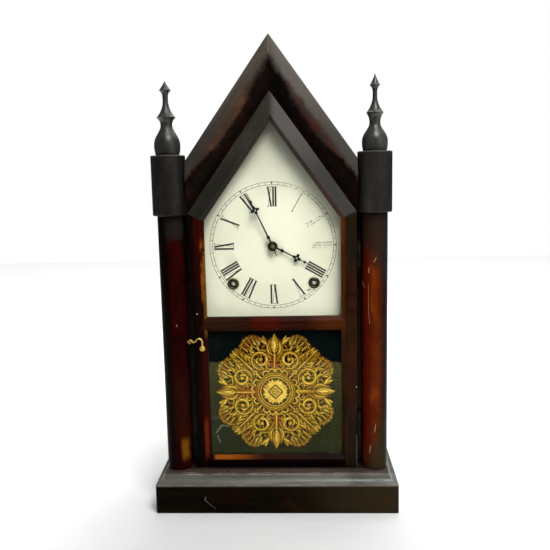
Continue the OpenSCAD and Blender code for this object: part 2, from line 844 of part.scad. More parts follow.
// Thin strips behind the glasses, which hold them in their rebates
module glazing_strips() {
    grow = rebate_w - glass_play;
    strip_w = 3;
    strip_back = door_back - 0.4;
    half = sight_half + grow;
    drop = strip_w / cos(gable_angle);
    dial_low_edge = mid_rail_top - grow;
    apex = sight_apex + grow / cos(gable_angle);
    inner = half - strip_w;
    color(dark_wood) {
        both_sides() slab(glass_back, strip_back) polygon([
            [inner, dial_low_edge], [half, dial_low_edge], [half, apex - slope * half],
            [inner, apex - drop - slope * inner]
        ]);
        both_sides() slab(glass_back, strip_back) polygon([
            [0, apex - drop], [inner, apex - drop - slope * inner], [half, apex - slope * half], [0, apex]
        ]);
        slab(glass_back, strip_back)
            translate([-inner, dial_low_edge]) square([2 * inner, strip_w]);
        both_sides() slab(glass_back, strip_back)
            translate([inner, bottom_rail_top - grow])
                square([strip_w, mid_rail_z - bottom_rail_top + 2 * grow]);
        for (z = [bottom_rail_top - grow, mid_rail_z + grow - strip_w])
            slab(glass_back, strip_back) translate([-inner, z]) square([2 * inner, strip_w]);
    }
}

// Round-headed screw that the latch hook turns on
module latch_screw() {
    head_y = latch_y - latch_wire_r - 0.3;
    color(brass) {
        bar_y([latch_x, latch_z], 1.1, head_y, door_front);
        translate([latch_x, head_y, latch_z]) rotate([90, 0, 0]) rotate_extrude()
            polygon([[0, 0], [2.4, 0], [2.2, 0.6], [1.4, 1.2], [0, 1.4]]);
        bar_y([latch_x, latch_z], 2.2, latch_y + latch_wire_r + 0.15, door_front);
    }
}

// Bend in the latch hook's wire about a point in the XZ plane, between two angles. It stops
// just short of both, inside the beads that join it to its neighbours.
module wire_bend(at, r, from, to) {
    short = 1;
    translate([at[0], latch_y, at[1]]) rotate([90, 0, 0]) rotate([0, 0, from + short])
        rotate_extrude(angle = to - from - 2 * short) translate([r, 0]) circle(r = latch_wire_r);
}

module wire_bead(at) {
    translate([at[0], latch_y, at[1]]) sphere(r = latch_wire_r + 0.05);
}

// Bent wire hook: an eye round the screw, an upright, an arch, a valley and an end over the catch pin
module latch_hook() {
    eye_r = 1.1 + running_play + latch_wire_r;
    hook_play = 0.5;
    end_r = catch_r + latch_wire_r + hook_play;
    valley_r = 2.4;
    end_at = [catch_x, catch_z];
    arch_at = [latch_x - latch_bend_r, latch_z + latch_rise];
    valley_at = meet(end_at, end_r + valley_r, arch_at, latch_bend_r + valley_r);
    arch_to = direction(arch_at, valley_at);
    end_from = direction(end_at, valley_at);
    end_to = 170;
    valley_from = direction(valley_at, end_at);
    color(brass) {
        translate([latch_x, latch_y, latch_z]) rotate([90, 0, 0]) difference() {
            cylinder(r = eye_r + latch_wire_r, h = 2 * latch_wire_r, center = true);
            cylinder(r = 1.1 + running_play, h = 3, center = true);
        }
        translate([latch_x, latch_y, latch_z + eye_r]) cylinder(r = latch_wire_r, h = latch_rise - eye_r);
        wire_bead([latch_x, arch_at[1]]);
        wire_bend(arch_at, latch_bend_r, 0, arch_to);
        wire_bead(polar(arch_at, latch_bend_r, arch_to));
        wire_bend(valley_at, valley_r, valley_from, direction(valley_at, arch_at));
        wire_bead(polar(valley_at, valley_r, valley_from));
        wire_bend(end_at, end_r, end_from, end_to);
        wire_bead(polar(end_at, end_r, end_to));
    }
}

// Toothed outline with pointed teeth. A gap between two teeth points along gap_dir.
module toothed_outline(teeth, mod, gap_dir) {
    pitch_r = teeth * mod / 2;
    root_r = pitch_r - 0.8 * mod;
    tip_r = pitch_r + 0.7 * mod;
    root_a = 0.6 * mod / root_r * 180 / PI;
    tip_a = 0.12 * mod / tip_r * 180 / PI;
    polygon([
        for (i = [0:teeth - 1]) for (k = [0:3])
            let (a = gap_dir + (i + 0.5) * 360 / teeth + [-root_a, -tip_a, tip_a, root_a][k])
            (k == 0 || k == 3 ? root_r : tip_r) * [cos(a), sin(a)]
    ]);
}

// A wheel with four spokes, its middle plane at y
module spoked_wheel(at, y, t, teeth, mod, gap_dir, hub_r) {
    inner_r = teeth * mod / 2 - 0.8 * mod - rim_w;
    slab(y - t / 2, y + t / 2) translate(at) difference() {
        toothed_outline(teeth, mod, gap_dir);
        difference() {
            circle(r = inner_r);
            circle(r = hub_r);
            for (a = [0, 90]) rotate(a) square([2 * inner_r + 1, rim_w], center = true);
        }
    }
}

// Lantern pinion: pins between two round shrouds, with one pin along pin_dir
module lantern_pinion(at, y, l, pins, mod, pin_dir) {
    pin_circle = pins * mod / 2;
    shroud_t = 0.6;
    for (s = [-1, 1]) let (mid = y + s * (l / 2 + shroud_t / 2))
        bar_y(at, pin_circle + 0.8 * mod, mid - shroud_t / 2, mid + shroud_t / 2);
    for (i = [0:pins - 1])
        bar_y(polar(at, pin_circle, pin_dir + i * 360 / pins), 0.45 * mod, y - l / 2 - eps, y + l / 2 + eps);
}

// An arbor between the plates with a smaller pivot in each plate
module plate_arbor(at) {
    end_play = 0.2;
    bar_y(at, arbor_r, plates_inner_front + end_play, plates_inner_back - end_play);
    bar_y(at, pivot_r, front_plate_y, movement_back);
}

// Outline of the movement plates, cut away between the arbors
module plate_outline() {
    window = [14, 25];
    window_gap = 12;
    difference() {
        translate([-plate_w / 2, plate_z]) square([plate_w, plate_h]);
        for (x = [-window[0] - window_gap / 2, window_gap / 2])
            translate([x, plate_z + pillar_inset + 2]) square(window);
    }
}

// Places and radii of the holes that both plates have
function pivot_places() = [time_second_at, fourth_at, escape_at, strike_second_at, strike_third_at, fly_at];

module front_plate() {
    color(brass) slab(front_plate_y, plates_inner_front) difference() {
        plate_outline();
        for (p = concat(pivot_places(), [verge_at, hammer_at]))
            translate(p) circle(r = pivot_r + running_play);
        translate(centre_at) circle(r = arbor_r + running_play);
        for (p = [time_great_at, strike_great_at]) translate(p) circle(r = winding_r + running_play);
    }
}

module back_plate() {
    color(brass) slab(plates_inner_back, movement_back) difference() {
        plate_outline();
        for (p = concat(pivot_places(), [centre_at])) translate(p) circle(r = pivot_r + running_play);
        for (p = [verge_at, hammer_at]) translate(p) circle(r = arbor_r + running_play);
        for (p = [time_great_at, strike_great_at]) translate(p) circle(r = winding_r + running_play);
    }
}

// Pillars between the plates, and the feet that hold the movement to the back board
module plate_pillars() {
    color(brass) both_sides() for (z = pillar_z) {
        bar_y([pillar_spacing / 2, z], pillar_r, plates_inner_front, plates_inner_back);
        bar_y([pillar_spacing / 2, z], pillar_r, movement_back, back_front);
    }
}

// Place of the gong wire after a number of turns from its inner end, round the gong's middle
function gong_point(turn) =
    let (a = gong_start + 360 * turn, r = gong_inner_r + gong_pitch * turn) [r * cos(a), r * sin(a)];
gong_rings = 24;
gong_sides = 6;
gong_lead = 2 * gong_wire_r;
function gong_path() =
    let (first = gong_point(0), last = gong_point(gong_turns), end_a = gong_start + 360 * gong_turns + 90)
    concat(
        [first + [gong_lead, 0]],
        [for (i = [0:gong_turns * gong_rings]) gong_point(i / gong_rings)],
        [last + gong_lead * [cos(end_a), sin(end_a)]]
    );

// Coil gong: one wire wound in a flat spiral, with a short straight run at each end
module gong_coil() {
    path = gong_path();
    n = len(path);
    // Half of each side's angle turns a flat of the wire towards the neighbouring turns
    ring_dir = [for (i = [0:n - 1]) i == 0 ? [-1, 0] : i == n - 1 ? (path[n - 1] - path[n - 2]) / gong_lead
        : let (d = path[i + 1] - path[i - 1]) d / norm(d)];
    points = [
        for (i = [0:n - 1]) for (k = [0:gong_sides - 1])
            let (a = 360 * k / gong_sides, side = [-ring_dir[i][1], ring_dir[i][0]] * gong_wire_r * cos(a))
            [path[i][0] + side[0], gong_wire_r * sin(a), path[i][1] + side[1]]
    ];
    faces = concat(
        [[for (k = [0:gong_sides - 1]) k]],
        [for (i = [0:n - 2]) for (k = [0:gong_sides - 1]) let (m = (k + 1) % gong_sides, b = i * gong_sides)
            each [[b + k, b + gong_sides + k, b + gong_sides + m], [b + k, b + gong_sides + m, b + m]]],
        [[for (k = [gong_sides - 1:-1:0]) (n - 1) * gong_sides + k]]
    );
    gap = min([for (i = [0:n - 1 - gong_rings]) for (j = [i + gong_rings / 2:min(n - 1, i + 2 * gong_rings)])
        norm(path[i] - path[j])]) - 2 * gong_wire_r;
    echo(least_gap_of_gong_to_itself = gap);
    color(black_steel) translate([gong_at[0], gong_y, gong_at[1]]) polyhedron(points = points, faces = faces);
}

// Iron foot on the back board with a block that holds the inner end of the gong
module gong_stand() {
    block = [6.5, 5.5];
    foot_r = 9;
    low = gong_inner_r + gong_wire_r + 0.4 - block[1];
    color(black_steel) {
        slab(gong_y - gong_wire_r - 1, back_front)
            translate(gong_at + [gong_lead, low]) square(block);
        bar_y(gong_at + [gong_lead + block[0] / 2, low + block[1] / 2], foot_r,
              gong_y + gong_wire_r + 0.6, back_front);
    }
}

// Bracket behind the back plate that holds the suspension spring over the pendulum
module suspension_cock() {
    top = plate_z + plate_h - 1;
    half = 7;
    grip_y = pendulum_y + 2.7;
    color(brass) {
        difference() {
            union() {
                translate([-half, movement_back, top - 8]) cube([2 * half, 1.5, 8]);
                translate([-half, movement_back, top - 1.5])
                    cube([2 * half, grip_y + 3 - movement_back, 1.5]);
                translate([-3, grip_y - 2, top - 5]) cube([6, 4, 5]);
            }
            translate([-0.1, grip_y - 1.1, top - 6]) cube([0.2, 2.2, 5]);
        }
    }
}

// Thin strip in the cock's slot, ending in a brass block with the pin that the rod hangs on
module suspension_spring() {
    top = plate_z + plate_h - 2;
    grip_y = pendulum_y + 2.7;
    color(bright_steel) {
        translate([-0.1, grip_y - 1.1, verge_at[1] + 2]) cube([0.2, 2.2, top - verge_at[1] - 2]);
        translate([-1.4, grip_y - 1.3, verge_at[1] - 2]) cube([2.8, 2.6, 5]);
        bar_y(verge_at, 0.8, pendulum_y - 1.4, grip_y);
    }
}

// Wound mainsprings, each hooked round a lower pillar
module mainsprings() {
    pillar = [pillar_spacing / 2, pillar_z[0]];
    arm = norm(pillar - time_great_at);
    color(bright_steel) both_sides() slab(mainspring_front, mainspring_back) difference() {
        union() {
            translate(time_great_at) circle(r = mainspring_r);
            translate(time_great_at) rotate(direction(time_great_at, pillar))
                translate([mainspring_r - 1, -0.8]) square([arm - mainspring_r, 1.6]);
            translate(pillar) circle(r = pillar_r + 1.2);
        }
        translate(time_great_at) circle(r = winding_r + 2);
        translate(pillar) circle(r = pillar_r + running_play);
    }
}

// Winding arbor with a square for the key at its front end and a ratchet wheel
module winding_arbor(at) {
    teeth = 16;
    square_l = 6;
    shaft_front = dial_back + square_l;
    color(bright_steel) {
        bar_y(at, winding_r, shaft_front, movement_back + 1);
        slab(dial_front + 0.4, shaft_front + eps) translate(at) square(winding_square, center = true);
        slab(ratchet_y - 0.8, ratchet_y + 0.8) translate(at) polygon([
            for (i = [0:teeth - 1]) for (k = [0, 1])
                (k == 0 ? 7 : 9) * [cos((i + 0.92 * k) * 360 / teeth), sin((i + 0.92 * k) * 360 / teeth)]
        ]);
    }
}

module time_winding_arbor() {
    winding_arbor(time_great_at);
}

module strike_winding_arbor() {
    winding_arbor(strike_great_at);
}

// Great wheel, loose on its winding arbor, with a click that stands clear of the ratchet
module great_wheel(at, gap_dir) {
    click_at = polar(at, 14, 40);
    color(brass) difference() {
        union() {
            spoked_wheel(at, great_y, great_t, great_teeth, great_mod, gap_dir, 16);
            slab(ratchet_y - 0.7, great_y) translate(click_at) circle(r = 2);
            slab(ratchet_y - 0.7, ratchet_y + 0.7)
                translate(click_at) rotate(165) translate([0, -0.9]) square([5, 1.8]);
        }
        bar_y(at, winding_r + running_play, great_y - great_t, great_y + great_t);
    }
}

module time_great_wheel() {
    great_wheel(time_great_at, direction(time_great_at, time_second_at));
}

module strike_great_wheel() {
    great_wheel(strike_great_at, direction(strike_great_at, strike_second_at));
}

// Second wheel of either train, between the great wheel and the next pinion
module second_wheel(at, great_at, next_at) {
    color(brass) {
        plate_arbor(at);
        spoked_wheel(at, second_y, wheel_t, second_teeth, second_mod, direction(at, next_at), 4);
        lantern_pinion(at, great_y, pinion_l - 0.6, second_pins, great_mod, direction(at, great_at));
    }
}

module time_second_wheel() {
    second_wheel(time_second_at, time_great_at, centre_at);
}

module strike_second_wheel() {
    second_wheel(strike_second_at, strike_great_at, strike_third_at);
}

// Centre wheel, whose arbor goes forward through the front plate and carries the cannon pinion
module centre_wheel() {
    color(brass) {
        plate_arbor(centre_at);
        bar_y(centre_at, arbor_r, minute_hand_y, plates_inner_front + 1);
        spoked_wheel(centre_at, centre_y, wheel_t, centre_teeth, centre_mod,
                     direction(centre_at, fourth_at), 4);
        lantern_pinion(centre_at, second_y, 1.6, centre_pins, second_mod,
                       direction(centre_at, time_second_at));
    }
}

module fourth_wheel() {
    color(brass) {
        plate_arbor(fourth_at);
        spoked_wheel(fourth_at, fourth_y, wheel_t, fourth_teeth, fourth_mod,
                     direction(fourth_at, escape_at), 3);
        lantern_pinion(fourth_at, centre_y, pinion_l, fourth_pins, centre_mod,
                       direction(fourth_at, centre_at));
    }
}

// Escape wheel with leaning teeth
module escape_wheel() {
    root_r = escape_r - 3;
    lean = 3;
    color(brass) {
        plate_arbor(escape_at);
        lantern_pinion(escape_at, fourth_y, pinion_l, escape_pins, fourth_mod,
                       direction(escape_at, fourth_at));
        slab(escape_y - wheel_t / 2, escape_y + wheel_t / 2) translate(escape_at) difference() {
            polygon([
                for (i = [0:escape_teeth - 1]) for (k = [0:3])
                    let (a = i * 360 / escape_teeth + [-2.4, lean, lean + 0.6, 2.4][k])
                    (k == 0 || k == 3 ? root_r : escape_r) * [cos(a), sin(a)]
            ]);
            difference() {
                circle(r = root_r - 1.8);
                circle(r = 3);
                for (a = [45, 135]) rotate(a) square([2 * root_r, 1.8], center = true);
            }
        }
    }
}

// Verge: a curved strip over the escape wheel, its arbor, and the crutch behind the back plate
module verge() {
    strip_r = escape_r + 1.9;
    strip_t = 1.8;
    crutch_y = movement_back + 3.2;
    fork_z = verge_at[1] - crutch_l;
    color(bright_steel) {
        slab(escape_y - 1.2, escape_y + 1.2) {
            intersection() {
                translate(escape_at) difference() {
                    circle(r = strip_r + strip_t);
                    circle(r = strip_r);
                }
                polygon([escape_at, polar(escape_at, 60, 130), polar(escape_at, 60, 50)]);
            }
            translate(verge_at + [-1.5, -verge_rise + strip_r + 0.5]) square([3, verge_rise - strip_r - 0.5]);
            translate(verge_at) circle(r = 2.4);
        }
        bar_y(verge_at, arbor_r, plates_inner_front + 0.2, crutch_y + 0.8);
        bar_y(verge_at, pivot_r, front_plate_y, plates_inner_front + 1);
        translate([0, crutch_y, fork_z]) cylinder(r = 0.7, h = verge_at[1] - fork_z);
        slab(crutch_y - 0.7, crutch_y + 0.7)
            translate([-rod_r - 1.4, fork_z - 0.7]) square([2 * rod_r + 2.8, 1.4]);
        for (s = [-1, 1])
            bar_y([s * (rod_r + 0.8), fork_z], 0.6, crutch_y, pendulum_y + rod_r + 1);
    }
}

module pendulum_rod() {
    eye_r = 2.2;
    rod_low = bob_z - bob_r - rod_tail_l;
    color(bright_steel) {
        slab(pendulum_y - 1, pendulum_y + 1) translate(verge_at) difference() {
            circle(r = eye_r);
            circle(r = 0.8 + running_play);
        }
        translate([0, pendulum_y, rod_low]) cylinder(r = rod_r, h = verge_at[1] - 1.5 - rod_low);
    }
}

// Half section of the bob: domed faces that meet a narrow flat edge
function bob_section() =
    let (edge = 0.6, bulge = bob_t / 2 - edge, steps = 8)
    concat(
        [[0, -bob_t / 2]],
        [for (i = [1:steps]) let (t = i / steps) [bob_r * t, -edge - bulge * (1 - t * t)]],
        [for (i = [steps:-1:1]) let (t = i / steps) [bob_r * t, edge + bulge * (1 - t * t)]],
        [[0, bob_t / 2]]
    );

// Domed bob on the rod, and the rating nut under it
module pendulum_bob() {
    color(brass) difference() {
        union() {
            translate([0, pendulum_y, bob_z]) rotate([90, 0, 0]) rotate_extrude() polygon(bob_section());
            translate([0, pendulum_y, bob_z - bob_r - 3.5]) cylinder(r = 3.4, h = 2.6);
        }
        translate([0, pendulum_y, bob_z - 2 * bob_r]) cylinder(r = rod_r, h = 4 * bob_r);
    }
}

// Cross with four round lobes
module hand_cross() {
    lobe_r = cross_r / 3;
    circle(r = cross_r * 0.55);
    for (a = [0:90:270]) translate(polar([0, 0], cross_r - lobe_r, a)) circle(r = lobe_r);
}

// Pointed bulge on the blade of a hand
module hand_leaf(x, half_l, half_w) {
    polygon([[x - half_l, 0], [x, -half_w], [x + half_l, 0], [x, half_w]]);
}

// Flat hand drawn along +X: a ring at the pivot, a thin blade with two bulges, and a pierced cross
module hand_outline(l, ring_r, bore_r) {
    cross_x = l * cross_place;
    difference() {
        union() {
            circle(r = ring_r);
            polygon([[0, -1], [cross_x, -0.5], [l, -0.3], [l, 0.3], [cross_x, 0.5], [0, 1]]);
            hand_leaf(ring_r + 6.5, 3.6, 2.1);
            translate([cross_x, 0]) hand_cross();
            hand_leaf(cross_x + 2 * cross_r, 2.8, 1.5);
        }
        circle(r = bore_r);
        translate([cross_x, 0]) circle(r = cross_eye_r);
    }
}

// Minute hand on the cannon pinion's pipe, which turns on the centre arbor
module minute_hand() {
    color(black_steel) {
        slab(minute_hand_y - hand_t / 2, minute_hand_y + hand_t / 2)
            translate(centre_at) rotate(minute_angle) hand_outline(minute_hand_l, 4, arbor_r + running_play);
    }
    color(brass) difference() {
        union() {
            bar_y(centre_at, cannon_r, minute_hand_y, front_plate_y - 0.4);
            lantern_pinion(centre_at, cannon_y, 1.6, cannon_pins, cannon_mod,
                       direction(centre_at, minute_wheel_at));
        }
        bar_y(centre_at, arbor_r + running_play, minute_hand_y - 1, front_plate_y);
    }
}

// Brass collet in front of the minute hand, and the taper pin across it
module hand_pin() {
    pin_dir = -68;
    front = minute_hand_y - hand_t / 2;
    color(brass) {
        translate([centre_at[0], front, centre_at[1]]) rotate([90, 0, 0]) rotate_extrude()
            polygon([
                [0, 0], [collet_r, 0], [collet_r, 0.3], [collet_r * 0.75, 0.9], [2, 1], [2, 1.6], [0, 1.8]
            ]);
        translate([centre_at[0], front - 1.1, centre_at[1]]) rotate([0, -pin_dir, 0])
            translate([-3.5, 0, 0]) rotate([0, 90, 0]) cylinder(r1 = 0.7, r2 = 0.4, h = 15);
    }
}

// Hour hand on its pipe, with the hour wheel at the back end of the pipe
module hour_hand() {
    color(black_steel) slab(hour_hand_y - hand_t / 2, hour_hand_y + hand_t / 2)
        translate(centre_at) rotate(hour_angle) hand_outline(hour_hand_l, 4.6, cannon_r + running_play);
    color(brass) difference() {
        union() {
            bar_y(centre_at, hour_pipe_r, hour_hand_y - hand_t, hour_wheel_y + wheel_t);
            spoked_wheel(centre_at, hour_wheel_y, 1, hour_teeth, hour_mod,
                     direction(centre_at, minute_wheel_at), 5);
        }
        bar_y(centre_at, cannon_r + running_play, hour_hand_y - 2, front_plate_y);
    }
}

// Minute wheel and its pinion, turning on a stud in the front plate
module minute_wheel() {
    color(brass) {
        bar_y(minute_wheel_at, 1, hour_wheel_y - 1.6, front_plate_y - 0.4);
        spoked_wheel(minute_wheel_at, cannon_y, 1, minute_teeth, cannon_mod,
                     direction(minute_wheel_at, centre_at), 3.2);
        lantern_pinion(minute_wheel_at, hour_wheel_y, 1.6, minute_pins, hour_mod,
                       direction(minute_wheel_at, centre_at));
    }
}

// Third wheel of the strike train
module strike_third_wheel() {
    color(brass) {
        plate_arbor(strike_third_at);
        spoked_wheel(strike_third_at, third_y, wheel_t, third_teeth, centre_mod,
                     direction(strike_third_at, fly_at), 3);
        lantern_pinion(strike_third_at, second_y, 1.6, centre_pins, second_mod,
                       direction(strike_third_at, strike_second_at));
    }
}

// Fly: two thin blades on the last arbor of the strike train
module fly() {
    color(brass) {
        plate_arbor(fly_at);
        lantern_pinion(fly_at, third_y, pinion_l, fourth_pins, centre_mod,
                       direction(fly_at, strike_third_at));
        slab(third_y + 4, plates_inner_back - 6) translate(fly_at) rotate(25)
            square([2 * fly_r, 0.6], center = true);
        bar_y(fly_at, 2, third_y + 4, plates_inner_back - 6);
    }
}

// Hammer: an arbor through the plates, a wire arm behind them and a head beside the gong
module hammer() {
    arm_y = gong_y;
    arm = norm(hammer_head_at - hammer_at);
    arm_a = direction(hammer_at, hammer_head_at);
    color(bright_steel) {
        bar_y(hammer_at, arbor_r, plates_inner_front + 0.2, arm_y + 1.4);
        bar_y(hammer_at, pivot_r, front_plate_y, plates_inner_front + 1);
        translate([hammer_at[0], arm_y, hammer_at[1]]) rotate([0, 90 - arm_a, 0])
            cylinder(r = 1.1, h = arm);
        translate([hammer_head_at[0], arm_y, hammer_head_at[1]]) rotate([0, 90 - hammer_dir, 0])
            cylinder(r = hammer_r, h = hammer_l, center = true);
    }
}

plinth_front();
plinth_sides();
plinth_back();
corner_blocks();
cove_mouldings();
floor_board();
side_boards();
roof_boards();
back_board();
face_frame();
gable_mouldings();
columns();
capitals();
finials();
dial_strips();
dial();
winding_grommets();
dial_tacks();
hinge_case_leaves();
hinge_pins();
catch_pin();
door_stile_left();
door_stile_right();
door_gable_rail_left();
door_gable_rail_right();
door_mid_rail();
door_bottom_rail();
dial_glass();
tablet_glass();
glazing_strips();
hinge_door_leaves();
latch_screw();
latch_hook();
front_plate();
back_plate();
plate_pillars();
gong_stand();
gong_coil();
suspension_cock();
suspension_spring();
mainsprings();
time_winding_arbor();
strike_winding_arbor();
time_great_wheel();
time_second_wheel();
centre_wheel();
fourth_wheel();
escape_wheel();
verge();
pendulum_rod();
pendulum_bob();
minute_hand();
hand_pin();
hour_hand();
minute_wheel();
strike_great_wheel();
strike_second_wheel();
strike_third_wheel();
fly();
hammer();
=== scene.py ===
"""Steeple mantel clock: finishes, softened woodwork, dial print and tablet ornament round the frame."""
import json
from math import cos, log, pi, radians, sin, tau

import bmesh
import bpy
from mathutils import Matrix, Vector

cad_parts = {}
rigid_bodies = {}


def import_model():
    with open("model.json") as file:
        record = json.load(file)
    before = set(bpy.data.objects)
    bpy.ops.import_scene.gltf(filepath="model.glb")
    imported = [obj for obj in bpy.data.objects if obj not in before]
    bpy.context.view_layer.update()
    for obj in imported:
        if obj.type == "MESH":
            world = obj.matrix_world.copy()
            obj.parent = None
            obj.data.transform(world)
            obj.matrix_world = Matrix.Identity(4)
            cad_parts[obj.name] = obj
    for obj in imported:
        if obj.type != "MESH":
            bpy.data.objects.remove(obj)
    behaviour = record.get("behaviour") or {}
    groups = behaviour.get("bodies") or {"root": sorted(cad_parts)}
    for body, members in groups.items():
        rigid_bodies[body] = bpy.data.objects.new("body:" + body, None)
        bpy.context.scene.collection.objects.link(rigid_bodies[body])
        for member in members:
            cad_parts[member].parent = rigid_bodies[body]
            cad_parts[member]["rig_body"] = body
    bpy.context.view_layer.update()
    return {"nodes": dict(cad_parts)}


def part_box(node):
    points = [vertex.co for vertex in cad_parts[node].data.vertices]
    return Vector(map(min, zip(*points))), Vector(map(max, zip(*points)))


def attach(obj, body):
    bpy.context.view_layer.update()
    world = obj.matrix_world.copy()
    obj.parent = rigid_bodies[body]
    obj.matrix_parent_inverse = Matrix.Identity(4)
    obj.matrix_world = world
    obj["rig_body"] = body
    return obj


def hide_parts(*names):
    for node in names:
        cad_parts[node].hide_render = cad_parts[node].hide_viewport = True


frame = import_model()
scene = bpy.context.scene

MM = 0.001
SLOPE = radians(54.5)


# Helpers for node trees. A colour is a hex string in sRGB, three linear numbers or another node's output.

def linear(color):
    """A colour's three numbers in linear light."""
    if not isinstance(color, str):
        return tuple(color)
    shares = [int(color[i:i + 2], 16) / 255 for i in (1, 3, 5)]
    return tuple(c / 12.92 if c <= 0.04045 else ((c + 0.055) / 1.055) ** 2.4 for c in shares)


class Value:
    """A number that a node gives. It takes part in sums as a plain number does."""

    def __init__(self, nodes, socket):
        self.nodes = nodes
        self.socket = socket

    def __add__(self, other):
        return self.nodes.calc("ADD", self, other)

    def __sub__(self, other):
        return self.nodes.calc("SUBTRACT", self, other)

    def __mul__(self, other):
        return self.nodes.calc("MULTIPLY", self, other)

    def __abs__(self):
        return self.nodes.calc("ABSOLUTE", self)


class Nodes:
    """The node tree of a material or of the world."""

    def __init__(self, owner):
        owner.use_nodes = True
        self.owner = owner
        self.tree = owner.node_tree
        self.tree.nodes.clear()
        self.color = None

    def put(self, socket, value):
        if isinstance(value, Value):
            value = value.socket
        if isinstance(value, bpy.types.NodeSocket):
            self.tree.links.new(value, socket)
        elif socket.type == "RGBA":
            socket.default_value = (*linear(value), 1)
        else:
            socket.default_value = value

    def add(self, kind, inputs=None, **settings):
        node = self.tree.nodes.new("ShaderNode" + kind)
        for key, value in settings.items():
            setattr(node, key, value)
        for key, value in (inputs or {}).items():
            self.put(node.inputs[key], value)
        return node

    def calc(self, operation, a, b=0.0):
        return Value(self, self.add("Math", {0: a, 1: b}, operation=operation).outputs[0])

    def vector(self, operation, a, b):
        return self.add("VectorMath", {0: a, 1: b}, operation=operation).outputs

    def gap(self, a, b):
        """The distance between two places."""
        return Value(self, self.vector("DISTANCE", a, b)["Value"])

    def mix(self, factor, a, b, blend="MIX"):
        return self.add("Mix", {0: factor, 6: a, 7: b}, data_type="RGBA", blend_type=blend).outputs[2]

    def tinted(self, color, amount, mask, target):
        """A colour taken towards the target by an amount where the mask is 1."""
        return self.mix(mask * amount, color, target)

    def tint(self, amount, mask, target):
        """Tints the tree's own colour."""
        self.color = self.tinted(self.color, amount, mask, target)

    def mask(self, value, low, high):
        """0 below low and 1 above high, or the other way round when low is the larger."""
        inputs = {"Value": value, "From Min": low, "From Max": high}
        return Value(self, self.add("MapRange", inputs, interpolation_type="SMOOTHSTEP").outputs["Result"])

    def between(self, value, low, high):
        """Takes a value from the range 0 to 1 to the range low to high."""
        inputs = {"Value": value, "To Min": low, "To Max": high}
        return Value(self, self.add("MapRange", inputs).outputs["Result"])

    def noise(self, at, stretch, detail, rough=0.55, warp=0.0):
        """Noise at a place. The stretch is one scale, or one for each direction."""
        stretch = stretch if isinstance(stretch, tuple) else (stretch,) * 3
        where = self.vector("MULTIPLY", at, stretch)[0]
        inputs = {"Vector": where, "Scale": 1.0, "Detail": detail, "Roughness": rough, "Distortion": warp}
        return Value(self, self.add("TexNoise", inputs).outputs[0])

    def patches(self, stretch, low, high, detail=5, rough=0.65):
        """1 in patches of noise, 0 between them."""
        return self.mask(self.noise(self.place(), stretch, detail, rough), low, high)

    def attribute(self, name):
        return Value(self, self.add("Attribute", attribute_name=name).outputs["Fac"])

    def place(self, turn=(0, 0, 0), shift=(0, 0, 0), here=None):
        """Where the surface is, in millimetres, turned so that the grain runs along X."""
        here = here or self.add("TexCoord").outputs["Object"]
        inputs = {"Vector": here, "Location": shift, "Rotation": turn, "Scale": (1000, 1000, 1000)}
        return self.add("Mapping", inputs).outputs[0]

    def paired_place(self, turn, shift):
        """As place, but mirrored at the middle, with another stretch of wood on each side."""
        x, y, z = self.xyz(self.add("TexCoord").outputs["Object"])
        folded = {0: abs(x), 1: y + self.calc("SIGN", x) * 0.37, 2: z}
        return self.place(turn, shift, self.add("CombineXYZ", folded).outputs[0])

    def edges(self, radius):
        """1 on convex and concave edges, 0 on open faces."""
        round_normal = self.add("Bevel", {"Radius": radius}, samples=4).outputs[0]
        flat_normal = self.add("NewGeometry").outputs["Normal"]
        return self.mask(self.vector("DOT_PRODUCT", round_normal, flat_normal)["Value"], 0.995, 0.86)

    def near(self, points, radius, soft):
        """1 near any of the points (in millimetres), falling to 0 at the radius."""
        at = self.place()
        found = 0.0
        for point in points:
            found = self.calc("MAXIMUM", self.mask(self.gap(at, point), radius, radius * soft), found)
        return found

    def xyz(self, at=None):
        """Width, depth and height of the surface's place, in millimetres."""
        return [Value(self, part) for part in self.add("SeparateXYZ", {0: at or self.place()}).outputs]

    def band(self, value, low, high, soft):
        """1 from low to high, falling to 0 over the soft distance outside them."""
        return self.mask(value, low - soft, low) * self.mask(value, high + soft, high)

    def ragged(self, value, size, scale):
        """A value with its contours broken up by noise."""
        return value + (self.noise(self.place(), scale, 5, 0.7) - 0.5) * size

    def line(self, start, end, width):
        """1 along a straight scratch between two points (x, z), in millimetres."""
        x, _, z = self.xyz()
        along = Vector((end[0] - start[0], 0, end[1] - start[1]))
        flat = self.add("CombineXYZ", {0: x, 1: 0.0, 2: z}).outputs[0]
        offset = self.vector("SUBTRACT", flat, (start[0], 0, start[1]))[0]
        share = self.vector("DOT_PRODUCT", offset, along / along.length_squared)["Value"]
        share = self.calc("MINIMUM", self.calc("MAXIMUM", share, 0.0), 1.0)
        foot = self.add("VectorMath", {0: along, "Scale": share}, operation="SCALE").outputs[0]
        return self.mask(self.gap(offset, foot), width, width * 0.3)

    def bump(self, height, distance, strength):
        inputs = {"Height": height, "Distance": distance, "Strength": strength}
        return self.add("Bump", inputs).outputs[0]

    def end(self, shader, output="OutputMaterial"):
        """Ends the tree in a shader."""
        self.tree.links.new(shader.outputs[0], self.add(output).inputs[0])
        return self.owner

    def finish(self, **inputs):
        """Ends the tree in one Principled shader whose inputs are given by name."""
        names = {"color": "Base Color", "rough": "Roughness", "normal": "Normal", "metal": "Metallic",
                 "specular": "Specular IOR Level"}
        return self.end(self.add("BsdfPrincipled", {names[key]: value for key, value in inputs.items()}))


def material_nodes(name):
    return Nodes(bpy.data.materials.new(name))


# Places that the finishes follow, from the frame, in millimetres

